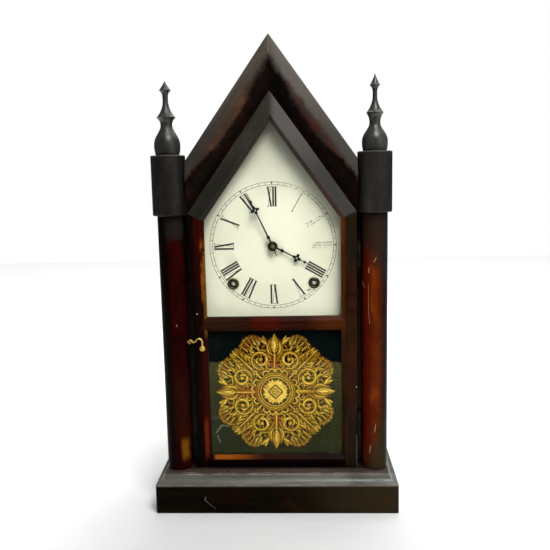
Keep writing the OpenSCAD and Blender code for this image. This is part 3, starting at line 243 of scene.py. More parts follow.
GABLE_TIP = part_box("gable_mouldings")[1].z / MM
DOOR_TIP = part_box("door_gable_rail_right")[1].z / MM
DIAL_Z = 285
CAPITAL_R = 17.9
COLUMN_X = (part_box("capitals")[1].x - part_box("capitals")[0].x) / 2 / MM - CAPITAL_R
COLUMN_Y = (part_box("columns")[0].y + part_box("columns")[1].y) / 2 / MM
COLUMN_SCRATCHES = [
    ((106.9, 272.9), (104.9, 268.7), 0.6), ((99.8, 262.6), (99.8, 257.3), 0.6),
    ((92.6, 250.1), (95.6, 241.7), 0.6), ((99.3, 246), (99.5, 215), 0.22), ((99.5, 215), (100.7, 203.5), 0.3),
    ((106.8, 93.2), (105.8, 85.3), 0.6), ((101.4, 69.6), (100.6, 61.7), 0.6),
    ((-102.6, 204.3), (-102.6, 203.3), 0.8),
]
TABLET_SCRATCHES = [
    ((-66.2, 79.8), (-60, 88.4), 1.3), ((-60, 88.4), (-53, 87.2), 1.0), ((-64.6, 76.4), (-62.6, 69.5), 1.1),
    ((-69.5, 97), (-61.5, 97), 0.5),
]
PLINTH_SCRATCH = [(-76.2, 19), (-77.2, 15.6), (-74.6, 13.2), (-71.7, 9.9), (-65.4, 5.2)]
PRINT_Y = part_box("tablet_glass")[1].y / MM + 0.9


# Materials

# Grey of the haze: partly bloomed varnish, partly a painted sheen of the light from above
HAZE_AND_SHEEN = "#54514c"
GRAIN = {"x": (0, 0, 0), "y": (0, 0, radians(-90)), "z": (0, radians(90), 0),
         "slope": (0, -SLOPE, 0)}


def wood(name, grain, tones, haze_and_sheen=0.0, rough=0.3, paired=False, shift=(0, 0, 0),
         worn=(0.16, 0.09, 0.05), wear=0.5, specular=0.1, blotchy=1.0, streaky=1.0, shade=None):
    """Old shellacked veneer: figure in a dark, a middle and a light tone, streaks, pores, a greyish
    haze in patches, partly bloomed varnish and partly a painted sheen, and rubbed edges.
    The shade function changes the colour by place."""
    low, base, high = tones.split()
    n = material_nodes(name)
    at = (n.paired_place if paired else n.place)(GRAIN[grain], shift)
    figure = n.noise(at, (0.011 * blotchy, 0.045, 0.045), 4, 0.6, 0.8)
    streak = n.noise(at, (0.012 * blotchy, 0.8, 0.8), 5, 0.65)
    dark_pores = n.mask(n.noise(at, (0.11, 2.6, 2.6), 2, 0.5), 0.6, 0.72)
    patch = n.noise(at, (0.02, 0.03, 0.03), 5, 0.6, 0.4)
    n.color = n.mix(n.mask(figure, 0.36, 0.56), low, base)
    n.tint(1.0, n.mask(figure, 0.54, 0.74), high)
    n.tint(streaky, n.mask(streak, 0.46, 0.66), n.mix(1.0, n.color, (0.35, 0.3, 0.3), "MULTIPLY"))
    n.tint(0.6, dark_pores, (0.004, 0.003, 0.003))
    # Grey haze in patches: partly bloomed varnish, partly a painted sheen
    n.tint(haze_and_sheen, n.between(n.mask(patch, 0.3, 0.7), 0.35, 1.0), HAZE_AND_SHEEN)
    if shade:
        x, _, z = n.xyz()
        shade(n, x, z)
    n.tint(wear, n.edges(1.1 * MM) * n.mask(n.noise(at, (0.05, 0.09, 0.09), 5, 0.7), 0.45, 0.62), worn)
    uneven = n.mask(n.noise(at, (0.03, 0.12, 0.12), 5, 0.65), 0.25, 0.75)
    gloss = n.between(uneven, rough - 0.08, rough + 0.14)
    relief = streak * 0.35 - dark_pores * 0.6
    return n.finish(color=n.color, rough=gloss, specular=specular, normal=n.bump(relief, 0.12 * MM, 0.35))


def slope_depth(x, z, apex):
    """Distance in from the sloping line through an apex on the axis, in millimetres."""
    return (z - apex) * -cos(SLOPE) - abs(x) * sin(SLOPE)


def levels(n, height, stops):
    """A colour that changes softly with height. Each stop is a height and the colour above it."""
    color = stops[0][1]
    for start, above in stops[1:]:
        color = n.mix(n.mask(height, start - 10, start + 10), color, above)
    return color


def gable_shade(n, x, z):
    """Grey outside the ridge, a painted sheen, paler on the right as painted light and darker lower down;
    the hollow goes through chipped brown to black, a painted shade.
    """
    smooth_depth = slope_depth(x, z, GABLE_TIP)
    depth = n.ragged(n.ragged(smooth_depth, 9, 0.1), 7, 0.32)
    right = n.mask(x, -6, 10)
    # Painted light: the right half paler
    n.tint(0.6, right, "#6c6762")
    n.tint(0.5, n.mask(z, 450, 390), "#262422")
    patch = n.patches(0.06, 0.42, 0.62, 6)
    left_brown = n.mix(patch, "#402f24", "#5e3e2b")
    brown = n.mix(right, left_brown, n.mix(patch, "#362721", "#4a1e16"))
    brown = n.mix(n.mask(z, 438, 460), brown, "#282421")
    n.tint(0.85, n.mask(depth, 8, 15), brown)
    late = n.band(z, 394, 428, 24) * 4.5
    early = n.mask(z, 398, 350) * 4
    # Painted shade: the hollow beside the door nearly black
    n.tint(0.96, n.mask(depth + early - late, 12.5, 18), n.mix(patch, "#060302", "#160704"))
    n.tint(0.4, n.mask(abs(x), 0.5, 0.15) * n.mask(smooth_depth, 13, 9), "#968c7c")


def door_slope_shade(n, x, z):
    """Grey-green on the left, grey on the right, the grey partly a painted sheen and paler on the right
    as painted light; darker lower down, with cream chips beside the glass.
    """
    depth = slope_depth(x, z, DOOR_TIP)
    right = n.mask(x, -2, 6)
    # Painted light: the right side paler
    n.tint(0.6, right, "#74706c")
    n.tint(0.55, n.mask(z + right * -8, 400, 345), n.mix(right, "#141610", "#181614"))
    n.tint(0.75, n.mask(depth, 13.3, 14.3),
           n.mix(right, "#282018", n.mix(n.mask(z, 372, 340), "#36261e", "#4c2f1c")))
    n.tint(0.5, n.patches(0.4, 0.6, 0.66, 4, 0.7) * n.mask(depth, 15.0, 16.4), "#a09278")


def left_stile_shade(n, x, z):
    """Black and dark red, with a broken orange bevel beside the dial, partly a painted highlight, and
    a red streak lower down.
    """
    n.tint(0.8, 1.0, levels(n, z, [(0, "#0e0302"), (96, "#160303"), (196, "#100603"), (240, "#300804"),
                                   (318, "#0c0a06")]))
    n.tint(0.85, n.mask(n.ragged(x, 4, 0.06), -79.5, -84.5), "#050503")
    broken = n.patches((0.12, 0.12, 0.07), 0.36, 0.6, rough=0.7)
    # Orange on the bevel: partly the veneer's colour, partly a painted highlight
    n.tint(0.85, n.mask(abs(x), 76.8, 75.2) * broken * n.band(z, 238, 284, 14), "#965816")
    n.tint(0.7, n.mask(x, -74.8, -73.4) * n.band(z, 196, 262, 12), "#704812")
    n.tint(0.7, n.mask(x, -79.5, -75.5) * n.band(z, 62, 172, 16), "#340904")
    n.tint(0.6, n.band(n.ragged(x, 2, 0.1), -77, -74.5, 1.6) * n.band(z, 62, 92, 12), "#782a0e")
    n.tint(0.8, n.near([(-81.5, -32, 215)], 1.0, 0.4), "#c8c4ba")


def right_stile_shade(n, x, z):
    """Orange-brown bevel; the outer part goes from grey through brown to black-green at the foot."""
    tone = levels(n, n.ragged(z, 20, 0.05), [(0, "#11160d"), (106, "#341b0a"), (204, "#2c180f"),
                                             (258, "#221c11"), (322, "#46423c")])
    n.tint(0.72, n.mask(n.ragged(x, 5, 0.05), 74, 79), tone)
    warm = levels(n, z, [(0, "#221a0e"), (118, "#3e220e"), (190, "#5c2e0c"), (286, "#743c12")])
    n.tint(0.72, n.mask(abs(x), 76.8, 74.2), warm)
    marks = n.calc("MAXIMUM", n.band(z, 233, 236, 3), n.band(z, 215, 217, 2))
    n.tint(0.5, marks * n.mask(x, 74, 79), "#140805")
    n.tint(0.5, n.mask(n.ragged(x, 0.8, 0.3), 86.5, 87.1) * n.band(z, 46, 78, 3), "#787468")
    n.tint(0.8, n.near([(87.0, -32, 133.3)], 1.0, 0.4), "#c4beb2")


def column_shade(n, x, z):
    """Left column nearly black with dark red, painted darker than the right as shade, its outer half
    black as painted shade; right column red, orange-brown and olive at the foot, its outer edge
    painted dark as shade. Grey haze near the tops is partly a painted sheen, and a painted shadow
    falls under the capitals.
    """
    out = n.ragged(abs(x) - COLUMN_X, 6, 0.05)
    cloud = n.patches((0.03, 0.03, 0.014), 0.4, 0.62, 4, 0.55)
    red = n.tinted(n.mix(cloud, "#140202", "#2c0504"), 0.6, n.band(z, 84, 140, 16), "#341206")
    haze = n.band(n.ragged(z, 16, 0.06), 300, 318, 9) * n.mask(out, 7, 0)
    spot = n.band(n.ragged(z, 10, 0.1), 60, 72, 10) * n.band(out, -9.5, -6.5, 3.5)
    # Painted shade: the left column is the right one's colour darkened
    left = n.mix(1.0, n.color, (0.4, 0.12, 0.16), "MULTIPLY")
    # Painted shade: the outer half black; the grey haze is partly a painted sheen
    for amount, mask, target in ((0.75, 1.0, red), (0.94, n.mask(out, -2, 5), "#080503"),
                                 (0.8, haze, "#1f1f1e"), (0.7, spot, "#86520c")):
        left = n.tinted(left, amount, mask, target)

    n.tint(0.45, 1.0, n.mix(cloud, "#542209", "#702c0a"))
    n.tint(0.85, n.mask(out, -3, -8), "#580f04")
    n.tint(0.85, n.mask(out, 1, 6), "#381b0e")
    # Painted shade: the right column's outer edge darkened
    n.tint(0.9, n.mask(out, 5.5, 10), "#160a0c")
    n.tint(0.85, n.mask(n.ragged(z, 16, 0.06) - out * 2.6, 104, 52), "#2c2a1b")
    # Grey-brown haze up the right column: partly a painted sheen
    n.tint(0.92, n.mask(n.ragged(z, 20, 0.05) + out * 1.5, 252, 284), "#26201b")

    n.color = n.mix(n.mask(x, -10, 10), left, n.color)
    # Painted shadow of the capital across the column's top
    n.tint(0.85, n.mask(z, 315, 321), "#040302")
    front = n.mask(n.xyz()[1], COLUMN_Y, COLUMN_Y - 2)
    for start, end, width in COLUMN_SCRATCHES:
        n.tint(0.6, n.line(start, end, width) * front, "#c8a278")


def capital_shade(n, x, z):
    """Mottled grey, partly a painted sheen and paler on the right as painted light, with brown smoky
    patches lower down, outer sides painted dark as shade on the round capital and a thin pale rim.
    """
    # Painted light: the right half paler
    n.tint(0.45, n.patches((0.09, 0.09, 0.07), 0.4, 0.64), n.mix(n.mask(x, -4, 4), "#14120f", "#1e1c1b"))
    smoke = n.patches((0.035, 0.035, 0.02), 0.48, 0.62, rough=0.6)
    n.tint(0.65, smoke * n.mask(z, 372, 352), "#22140c")
    # Painted shade: the sides of the round capital darkened
    n.tint(0.65, n.mask(abs(abs(x) - COLUMN_X), 9.5, 16.5), "#0b0a09")
    n.tint(0.3, n.mask(z, 380.2, 381.0), "#706e68")


def cove_shade(n, x, z):
    """A smooth grey hollow, its grey a painted reflection of the pale surroundings, painted darker on
    the left as shade, with a brown top edge and a worn pale line under it.
    """
    # Painted shade: the left end darker
    n.tint(0.6, n.mask(x, -50, -120), "#585850")
    n.tint(0.8, n.mask(z, 40.3, 41.0), "#3a2a21")
    n.tint(0.6, n.band(z, 40.4, 40.8, 0.3) * n.patches(0.05, 0.4, 0.6, rough=0.7), "#a8967c")


def plinth_shade(n, x, z):
    """Olive black on the left, red-brown patches, browner and lighter on the right as painted light,
    a pale edge and a scratch.
    """
    n.tint(0.5, n.patches((0.03, 0.03, 0.05), 0.48, 0.64, rough=0.6), "#1e0905")
    # Painted light: the right side lighter and browner
    n.tint(0.7, n.mask(n.ragged(x, 60, 0.02), 10, 110), "#362d1d")
    n.tint(0.4, n.patches((0.05, 0.05, 0.06), 0.54, 0.66, 6) * n.mask(x, -20, 60), "#3e2010")
    n.tint(0.5, n.mask(z, 29.7, 30.6), "#706a5c")
    for i, (start, end) in enumerate(zip(PLINTH_SCRATCH, PLINTH_SCRATCH[1:])):
        n.tint(0.6 - 0.1 * i, n.line(start, end, 0.45), "#969286")


def mid_rail_shade(n, x, z):
    """Red patches in the middle, orange on the right and a dull left end."""
    n.tint(0.75, n.mask(n.ragged(x, 30, 0.03), -16, -50), "#2a190d")
    n.tint(0.6, n.band(n.ragged(x, 10, 0.1), -20, 2, 6), "#4e1105")
    n.tint(0.55, n.mask(n.ragged(x, 20, 0.05), 30, 56), "#5c2c0c")


def bottom_rail_shade(n, x, z):
    """Black front, a painted shade; the bevel is orange on the left only, partly painted light, with a
    worn pale line along the glass.
    """
    # Painted shade: the front face black
    n.tint(0.93, n.mask(z, 52.6, 51.2), "#080101")
    far = n.ragged(x, 16, 0.07)
    warm = n.mix(n.mask(far, -58, -8), "#965010", "#2c1208")
    warm = n.mix(n.mask(far, 0, 60), warm, "#160c07")
    warm = n.mix(n.mask(x, -66, -70), warm, "#0e0302")
    # Orange on the bevel: partly the veneer's colour, partly painted light on a face turned up
    n.tint(0.88, n.mask(z, 51.4, 52.6), warm)
    n.tint(0.55, n.mask(z, 56.3, 56.9) * n.patches(0.06, 0.36, 0.56, rough=0.7), "#96805c")


def raw_pine(name, grain, color=(0.28, 0.16, 0.07), shift=(0, 0, 0)):
    """Unfinished softwood, browned by age, with growth rings and dirt."""
    n = material_nodes(name)
    at = n.place(GRAIN[grain], shift)
    ring = n.noise(at, (0.006, 0.09, 0.09), 3, 0.5, 1.6)
    band = n.calc("SINE", ring * 38)
    fine = n.noise(at, (0.03, 1.1, 1.1), 4, 0.6)
    dirt = n.noise(at, (0.03, 0.04, 0.04), 6, 0.65)
    dark = tuple(c * 0.42 for c in color)
    n.color = n.mix(n.mask(band, -0.4, 1.0) * 0.6, color, dark)
    n.tint(0.5, n.mask(fine, 0.45, 0.7), dark)
    n.tint(0.6, n.mask(dirt, 0.5, 0.75), (0.035, 0.024, 0.016))
    n.tint(0.35, n.edges(1.0 * MM), (0.05, 0.03, 0.018))
    return n.finish(color=n.color, rough=n.between(dirt, 0.6, 0.85), specular=0.25,
                    normal=n.bump(fine + band, 0.15 * MM, 0.3))


def metal(name, color, tarnish, rough, tarnished=0.5, shade=None):
    """Worn metal: tarnish in patches and fine scratches. The shade function is as for wood."""
    n = material_nodes(name)
    at = n.place()
    patch = n.noise(at, 0.08, 8, 0.68)
    speck = n.noise(at, 2.4, 3, 0.6)
    scratch = n.noise(at, (0.3, 6.0, 6.0), 2, 0.5)
    dull = n.mask(patch, 0.6 - 0.3 * tarnished, 0.95 - 0.25 * tarnished)
    dull = n.calc("MAXIMUM", dull, n.mask(speck, 0.6, 0.8))
    n.color = n.mix(dull * 0.8, color, tarnish)
    if shade:
        x, _, z = n.xyz()
        shade(n, x, z)
    gloss = n.between(n.calc("MAXIMUM", dull, scratch * 0.6), rough, min(rough + 0.3, 0.9))
    return n.finish(color=n.color, rough=gloss, metal=1.0, normal=n.bump(scratch + speck, 0.05 * MM, 0.4))


def collet_shade(n, x, z):
    """A dark rim round the middle of the hands' collet."""
    height = z - DIAL_Z
    radius = n.calc("POWER", x * x + height * height, 0.5)
    n.tint(0.85, n.mask(radius, 2.6, 3.4), (0.02, 0.014, 0.008))
    n.tint(0.7, n.mask(radius, 1.7, 1.2), (0.5, 0.46, 0.4))


def clear_glass(name, ior=1.45, reflection=(1, 1, 1)):
    """Old glass that lamps shine through, faintly uneven."""
    n = material_nodes(name)
    at = n.place()
    wave = n.bump(n.noise(at, (0.02, 0.02, 0.035), 2, 0.4), 0.4 * MM, 0.25)
    smear = n.mask(n.noise(at, 0.03, 5, 0.6), 0.45, 0.8)
    clear = (0.985, 0.99, 0.985)
    glass = n.add("BsdfPrincipled", {
        "Base Color": clear, "Roughness": n.between(smear, 0.0, 0.06), "IOR": ior,
        "Specular Tint": reflection, "Transmission Weight": 1.0, "Normal": wave})
    through = n.add("BsdfTransparent", {"Color": clear})
    shadow = n.add("LightPath").outputs["Is Shadow Ray"]
    return n.end(n.add("MixShader", {0: shadow, 1: glass.outputs[0], 2: through.outputs[0]}))


def paint_of_dial(n):
    """Colour of the painted dial: aged cream with stains where the hands and keys have worn it,
    a painted shade at the top and on the left, and a painted pool of light round the middle.
    """
    at = n.place()
    x, _, z = n.xyz(at)
    n.color = n.mix(n.mask(n.noise(at, 0.02, 5, 0.6), 0.35, 0.65), "#f1f1d8", "#e8e8cd")
    n.tint(0.12, n.mask(n.noise(at, 0.5, 4, 0.6), 0.58, 0.75), "#aaa078")
    # Painted shade at the top and on the left, where the door shades the dial
    shaded = n.calc("MAXIMUM", n.mask(z, 322, 392), n.mask(x, -50, -110))
    n.tint(1.0, shaded, n.mix(1.0, n.color, (0.72, 0.72, 0.72), "MULTIPLY"))
    wander = (n.noise(at, 0.3, 4, 0.6) - 0.5) * 6.0
    halo = (9.5, "#bab07c", 0.5, 0.5)
    # The first of these is a painted pool of light round the middle; the others are stains
    for place, radius, stain_and_light, amount, soft in (
            ((0, DIAL_Z), 56, "#fcfce2", 0.6, 0.1), ((1, 281), 13, "#968a5c", 0.35, 0.25),
            ((-4, 288), 8, "#6e623e", 0.35, 0.25), ((-22, 311), 12, "#aab098", 0.22, 0.25),
            ((-43.5, 244.5), *halo), ((43.5, 244.5), *halo), ((-44, 268), 11, "#787662", 0.2, 0.25)):
        gap = n.gap(at, (place[0], -16, place[1]))
        n.tint(amount, n.mask(gap + wander, radius, radius * soft), stain_and_light)
    n.tint(0.8, n.line((36.5, 236.4), (39.0, 237.3), 1.3), "#50482e")
    return n.color


def dial_paint(name):
    n = material_nodes(name)
    grain = n.noise(n.place(), 0.6, 3, 0.5)
    return n.finish(color=paint_of_dial(n), rough=n.between(grain, 0.42, 0.6), specular=0.4,
                    normal=n.bump(grain, 0.05 * MM, 0.3))


def tablet_ground(name):
    """Dark paint behind the ornament of the lower glass."""
    n = material_nodes(name)
    n.color = n.mix(n.patches(0.03, 0.35, 0.7, 5, 0.6), "#040d0e", "#0a1313")
    n.tint(0.35, n.patches(0.7, 0.68, 0.78, 4, 0.6), "#464232")
    for start, end, width in TABLET_SCRATCHES:
        n.tint(0.7, n.line(start, end, width), "#68746e")
    return n.finish(color=n.color, rough=0.6, specular=0.0)


def dial_ink(name):
    """Printed black, worn through to the paint where the piece's wear attribute says so."""
    n = material_nodes(name)
    at = n.place()
    grain = n.noise(at, 0.55, 5, 0.7)
    fine = n.noise(at, 2.5, 3, 0.6)
    kept = n.mask(grain * 0.7 + fine * 0.3 - (n.attribute("wear") - 0.5), 0.42, 0.52)
    color = n.mix(kept, paint_of_dial(n), n.mix(n.mask(fine, 0.4, 0.7), "#161512", "#282620"))
    return n.finish(color=color, rough=0.5, specular=0.4)


def gold_print(name):
    """Gold paint seen through the glass, from dark outline to pale light by the piece's tone attribute."""
    n = material_nodes(name)
    fine = n.noise(n.place(), 0.9, 4, 0.65)
    tone = n.attribute("tone") + (fine - 0.5)
    ramp = n.add("ValToRGB", {0: tone})
    stops = ramp.color_ramp.elements
    for position, color in ((0.2, "#361602"), (0.42, "#583402"), (0.62, "#9c7602"), (0.82, "#caa214")):
        stops.new(position).color = (*linear(color), 1)
    stops[0].color = (*linear("#1c0902"), 1)
    stops[-1].color = (*linear("#f4d064"), 1)
    n.color = ramp.outputs[0]
    n.tint(0.5, n.patches(0.05, 0.5, 0.68, 4, 0.6), "#783204")
    red = n.near([(-34, PRINT_Y, 127), (-22, PRINT_Y, 126), (-1, PRINT_Y, 158), (1, PRINT_Y, 95)], 12, 0.25)
    n.tint(0.55, red * n.mask(tone, 0.95, 0.6), "#7a1e04")
    return n.finish(color=n.color, rough=0.5, specular=0.1)


def floor_paper(name):
    """White paper with a painted shadow round the clock, and shining by itself farther away."""
    n = material_nodes(name)
    color = n.mix(n.noise(n.place(), 0.004, 2), (0.93, 0.93, 0.93), (0.95, 0.95, 0.95))
    apart = n.gap(n.place(), (0, -150, 0))
    return n.end(n.add("BsdfPrincipled", {
        # Painted shadow: the paper greyer round the clock
        "Base Color": n.tinted(color, 1.0, n.mask(apart, 210, 60), (0.86, 0.86, 0.86)),
        "Roughness": 0.9, "Specular IOR Level": 0.0, "Emission Color": (1, 1, 1),
        "Emission Strength": n.mask(apart, 110, 520) * 0.8}))


# Finishes by part of the clock

FINISH = {
    "plinth": wood("plinth_rosewood", "x", "#090701 #120d03 #1c1105", rough=0.32, wear=0.6, worn="#6e5c46",
                   specular=0.02, shade=plinth_shade),
    "plinth_end": wood("plinth_end_rosewood", "y", "#080503 #140b06 #2a140a", 0.06, shift=(40, 0, 9)),
    # Grey tones of the cove: a painted reflection of the pale surroundings
    "cove": wood("cove_wood", "x", "#5c5c54 #76776e #86877d", 0.2, wear=0.9, worn="#b0ac9e", specular=0.25,
                 streaky=0.22, shade=cove_shade),
    "column": wood("column_rosewood", "z", "#280903 #622409 #8c4214", paired=True, shift=(11, 0, 0),
                   specular=0.015, blotchy=2.8, streaky=0.5, shade=column_shade),
    # Grey tones of the capital, finial, gable and door slope: dark wood, partly a painted sheen
    "capital": wood("capital_wood", "z", "#181614 #282624 #383532", 0.16, 0.4, paired=True, shift=(63, 0, 0),
                    specular=0.12, streaky=0.4, shade=capital_shade),
    "finial": wood("finial_wood", "z", "#1a1b19 #2c2d29 #42433e", 0.26, 0.36, paired=True, shift=(20, 0, 0),
                   specular=0.45, streaky=0.5),
    "gable": wood("gable_rosewood", "slope", "#463e35 #5a5146 #6a5d4e", 0.4, 0.38, paired=True,
                  shift=(5, 0, 0), specular=0.03, streaky=0.4, shade=gable_shade),
    "door_slope": wood("door_slope_rosewood", "slope", "#222018 #323026 #403a2e", 0.3, 0.38, paired=True,
                       shift=(90, 0, 30), streaky=0.7, shade=door_slope_shade),
    "stile_left": wood("left_stile_rosewood", "z", "#0a0401 #2e0d03 #5a1e08", shift=(31, 0, 0),
                       specular=0.02, blotchy=2.0, streaky=0.6, shade=left_stile_shade),
    "stile_right": wood("right_stile_rosewood", "z", "#160802 #3a1b09 #682e0e", 0.02, shift=(31, 0, 0),
                        specular=0.03, blotchy=2.0, streaky=0.6, shade=right_stile_shade),
    "rail": wood("rail_rosewood", "x", "#140502 #3a1608 #5c260c", shift=(17, 0, 0), specular=0.03,
                 shade=mid_rail_shade),
    "bottom_rail": wood("bottom_rail_rosewood", "x", "#080201 #1a0703 #321206", shift=(47, 0, 0),
                        specular=0.02, wear=0.2, shade=bottom_rail_shade),
    "case_side": wood("side_rosewood", "z", "#0a0402 #260d06 #501e0a", 0.08, paired=True, shift=(70, 0, 0),
                      specular=0.15),
    "roof": wood("roof_wood", "y", "#100c0a #201813 #36261a", 0.4, 0.45),
    "frame": wood("frame_rosewood", "z", "#080302 #1e0a05 #3c1608", 0.03, 0.35),
    "floor": wood("floor_wood", "x", "#0e0805 #22120b #3c2212", 0.15, 0.45),
    "back": raw_pine("back_pine", "z"),
    "block": raw_pine("block_pine", "z", (0.34, 0.2, 0.09), (50, 0, 0)),
    "strip": raw_pine("strip_pine", "x", (0.3, 0.18, 0.08), (0, 20, 0)),
    "brass": metal("plate_brass", (0.72, 0.5, 0.2), (0.24, 0.15, 0.06), 0.24),
    "aged_brass": metal("aged_brass_metal", (0.5, 0.34, 0.13), (0.1, 0.065, 0.03), 0.32, 0.8),
    "latch_brass": metal("latch_brass_metal", (0.8, 0.54, 0.13), (0.26, 0.16, 0.05), 0.26, 0.35),
    "grommet_brass": metal("grommet_brass_metal", (0.13, 0.1, 0.05), (0.03, 0.022, 0.014), 0.36, 0.6),
    "hinge_brass": metal("hinge_brass_metal", (0.03, 0.022, 0.014), (0.01, 0.008, 0.006), 0.6, 0.9),
    "collet_brass": metal("collet_brass_metal", (0.16, 0.125, 0.065), (0.03, 0.022, 0.012), 0.34, 0.7,
                          collet_shade),
    "steel": metal("grey_steel", (0.5, 0.5, 0.5), (0.16, 0.13, 0.11), 0.28),
    "arbor_steel": metal("arbor_steel", (0.9, 0.89, 0.86), (0.3, 0.28, 0.25), 0.42, 0.2),
    "black_steel": metal("blackened_steel", (0.03, 0.03, 0.035), (0.02, 0.018, 0.016), 0.35),
    "iron": metal("gong_iron_metal", (0.12, 0.12, 0.13), (0.07, 0.045, 0.03), 0.42, 0.6),
    "glass": clear_glass("old_clear_glass"),
    "backed_glass": clear_glass("old_painted_glass", 1.28, (1.0, 0.96, 0.28)),
    "dial": dial_paint("dial_cream_paint"),
    "tablet": tablet_ground("tablet_ground_paint"),
    "ink": dial_ink("dial_ink_print"),
    "gold": gold_print("gold_ornament_print"),
    "paper": floor_paper("floor_paper"),
}


# Woodwork with softened edges

def link(name, data):
    """Puts an object with this data into the scene."""
    item = bpy.data.objects.new(name, data)
    scene.collection.objects.link(item)
    return item


def new_piece(name, bm, finish):
    """A piece from a built mesh, all in one finish."""
    mesh = bpy.data.meshes.new(name + "_mesh")
    bm.to_mesh(mesh)
    bm.free()
    mesh.materials.append(FINISH[finish])
    return link(name, mesh)


def softened(node, width, finish):
    """A copy of a CAD node with small rounded edges, which stands for it."""
    source = frame["nodes"][node]
    bm = bmesh.new()
    bm.from_mesh(source.data)
    bmesh.ops.remove_doubles(bm, verts=bm.verts, dist=2e-6)
    bmesh.ops.dissolve_limit(bm, angle_limit=radians(1), verts=bm.verts, edges=bm.edges)
    for face in bm.faces:
        face.smooth = True
    piece = new_piece(node + "_wood", bm, finish)
    attributes = piece.data.attributes
    if "custom_normal" in attributes:
        attributes.remove(attributes["custom_normal"])
    bevel = piece.modifiers.new("edges", "BEVEL")
    bevel.width = width
    bevel.segments = 2
    bevel.limit_method = "ANGLE"
    bevel.angle_limit = radians(28)
    bevel.harden_normals = True
    graph = bpy.context.evaluated_depsgraph_get()
    final = bpy.data.meshes.new_from_object(piece.evaluated_get(graph))
    piece.modifiers.clear()
    piece.data = final
    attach(piece, source["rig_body"])
    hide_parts(node)


# For each slot, its nodes with the width of the rounded edges in millimetres and the finish
SOFT_WOOD = {
    "rosewood_veneer": {
        "plinth_front": (0.8, "plinth"), "plinth_sides": (0.8, "plinth_end"),
        "side_boards": (0.5, "case_side"), "face_frame": (0.4, "frame"), "gable_mouldings": (0.5, "gable"),
        "door_stile_left": (0.45, "stile_left"), "door_stile_right": (0.45, "stile_right"),
        "door_gable_rail_left": (0.45, "door_slope"), "door_gable_rail_right": (0.45, "door_slope"),
        "door_mid_rail": (0.45, "rail"), "door_bottom_rail": (0.45, "bottom_rail")},
    "dark_wood": {
        "cove_mouldings": (0.4, "cove"), "floor_board": (0.3, "floor"), "roof_boards": (0.5, "roof"),
        "glazing_strips": (0.3, "floor")},
    "pine": {
        "plinth_back": (0.6, "back"), "corner_blocks": (0.6, "block"), "back_board": (0.5, "back"),
        "dial_strips": (0.3, "strip")},
}
for slot, nodes in SOFT_WOOD.items():
    for node, (width, finish) in nodes.items():
        softened(node, width * MM, finish)

CAD_FINISH = {
    "column": "columns", "capital": "capitals", "dial": "dial", "glass": "dial_glass",
    "backed_glass": "tablet_glass", "grommet_brass": "winding_grommets", "collet_brass": "hand_pin",
    "hinge_brass": "hinge_case_leaves hinge_door_leaves hinge_pins",
    "latch_brass": "latch_screw latch_hook",
    "aged_brass": "dial_tacks catch_pin",
    "brass": "front_plate back_plate plate_pillars suspension_cock pendulum_bob minute_wheel "
             "time_great_wheel time_second_wheel centre_wheel fourth_wheel escape_wheel "
             "strike_great_wheel strike_second_wheel strike_third_wheel fly",
    "steel": "suspension_spring mainsprings verge pendulum_rod hammer",
    "arbor_steel": "time_winding_arbor strike_winding_arbor",
    "black_steel": "minute_hand hour_hand",
    "iron": "gong_stand gong_coil",
}
for finish, nodes in CAD_FINISH.items():
    for shown in (frame["nodes"][node] for node in nodes.split()):
        if not shown.data.materials:
            shown.data.materials.append(None)
        for slot in shown.material_slots:
            slot.link = "OBJECT"
            slot.material = FINISH[finish]


# Turned finials, each with its own heights and radii in millimetres above the capital

FINIAL_HEIGHT = 76
RIM, LIP = 0.45, 0.4
LEFT_FINIAL = {"foot": (0, 12), "ball": (9.2, 13.5), "neck": (30.6, 6.0), "flange": (38.1, 9.7),
               "waist": (56, 2.8), "cap": (65.4, 6.0), "tip": (74.7, 0.4)}
RIGHT_FINIAL = {"foot": (0, 12), "ball": (8.6, 13.2), "neck": (28.2, 5.55), "flange": (38.1, 8.8),
                "waist": (56, 2.3), "cap": (65.4, 5.3), "tip": (77.0, 0.3)}


def polar(radius, angle):
    """A point by its distance from the middle and its angle."""
    return Vector((radius * cos(angle), radius * sin(angle)))


def run(start, end, ease, steps):
    """Profile points from one place to another. Ease gives the share of the change in radius."""
    return [(start[0] + (end[0] - start[0]) * i / steps, start[1] + (end[1] - start[1]) * ease(i / steps))
            for i in range(1, steps + 1)]


def finial_profile(at, shoulder, hollow_tip):
    """Heights and radii from the foot to the tip. A larger shoulder makes the ball fuller above."""
    def lip(name):
        height, radius = at[name]
        return [(height + RIM * (1 - cos(a)), radius - LIP + LIP * sin(a))
                for a in (pi * i / 6 for i in range(1, 7))]

    def below(name, rise=0.0):
        return (at[name][0] + rise, at[name][1] - LIP)

    return [at["foot"],
            *run(at["foot"], at["ball"], lambda t: 1 - (1 - t) ** 2, 8),
            *run(at["ball"], at["neck"], lambda t: 0.5 - 0.5 * cos(pi * t ** shoulder), 16),
            *run(at["neck"], below("flange"), lambda t: t ** 2.4, 10),
            *lip("flange"),
            *run(below("flange", 2 * RIM), at["waist"], lambda t: 1 - (1 - t) ** 2.2, 12),
            *run(at["waist"], below("cap"), lambda t: t ** 4, 10),
            *lip("cap"),
            *run(below("cap", 2 * RIM), at["tip"], lambda t: 1 - (1 - t) ** hollow_tip, 8)]


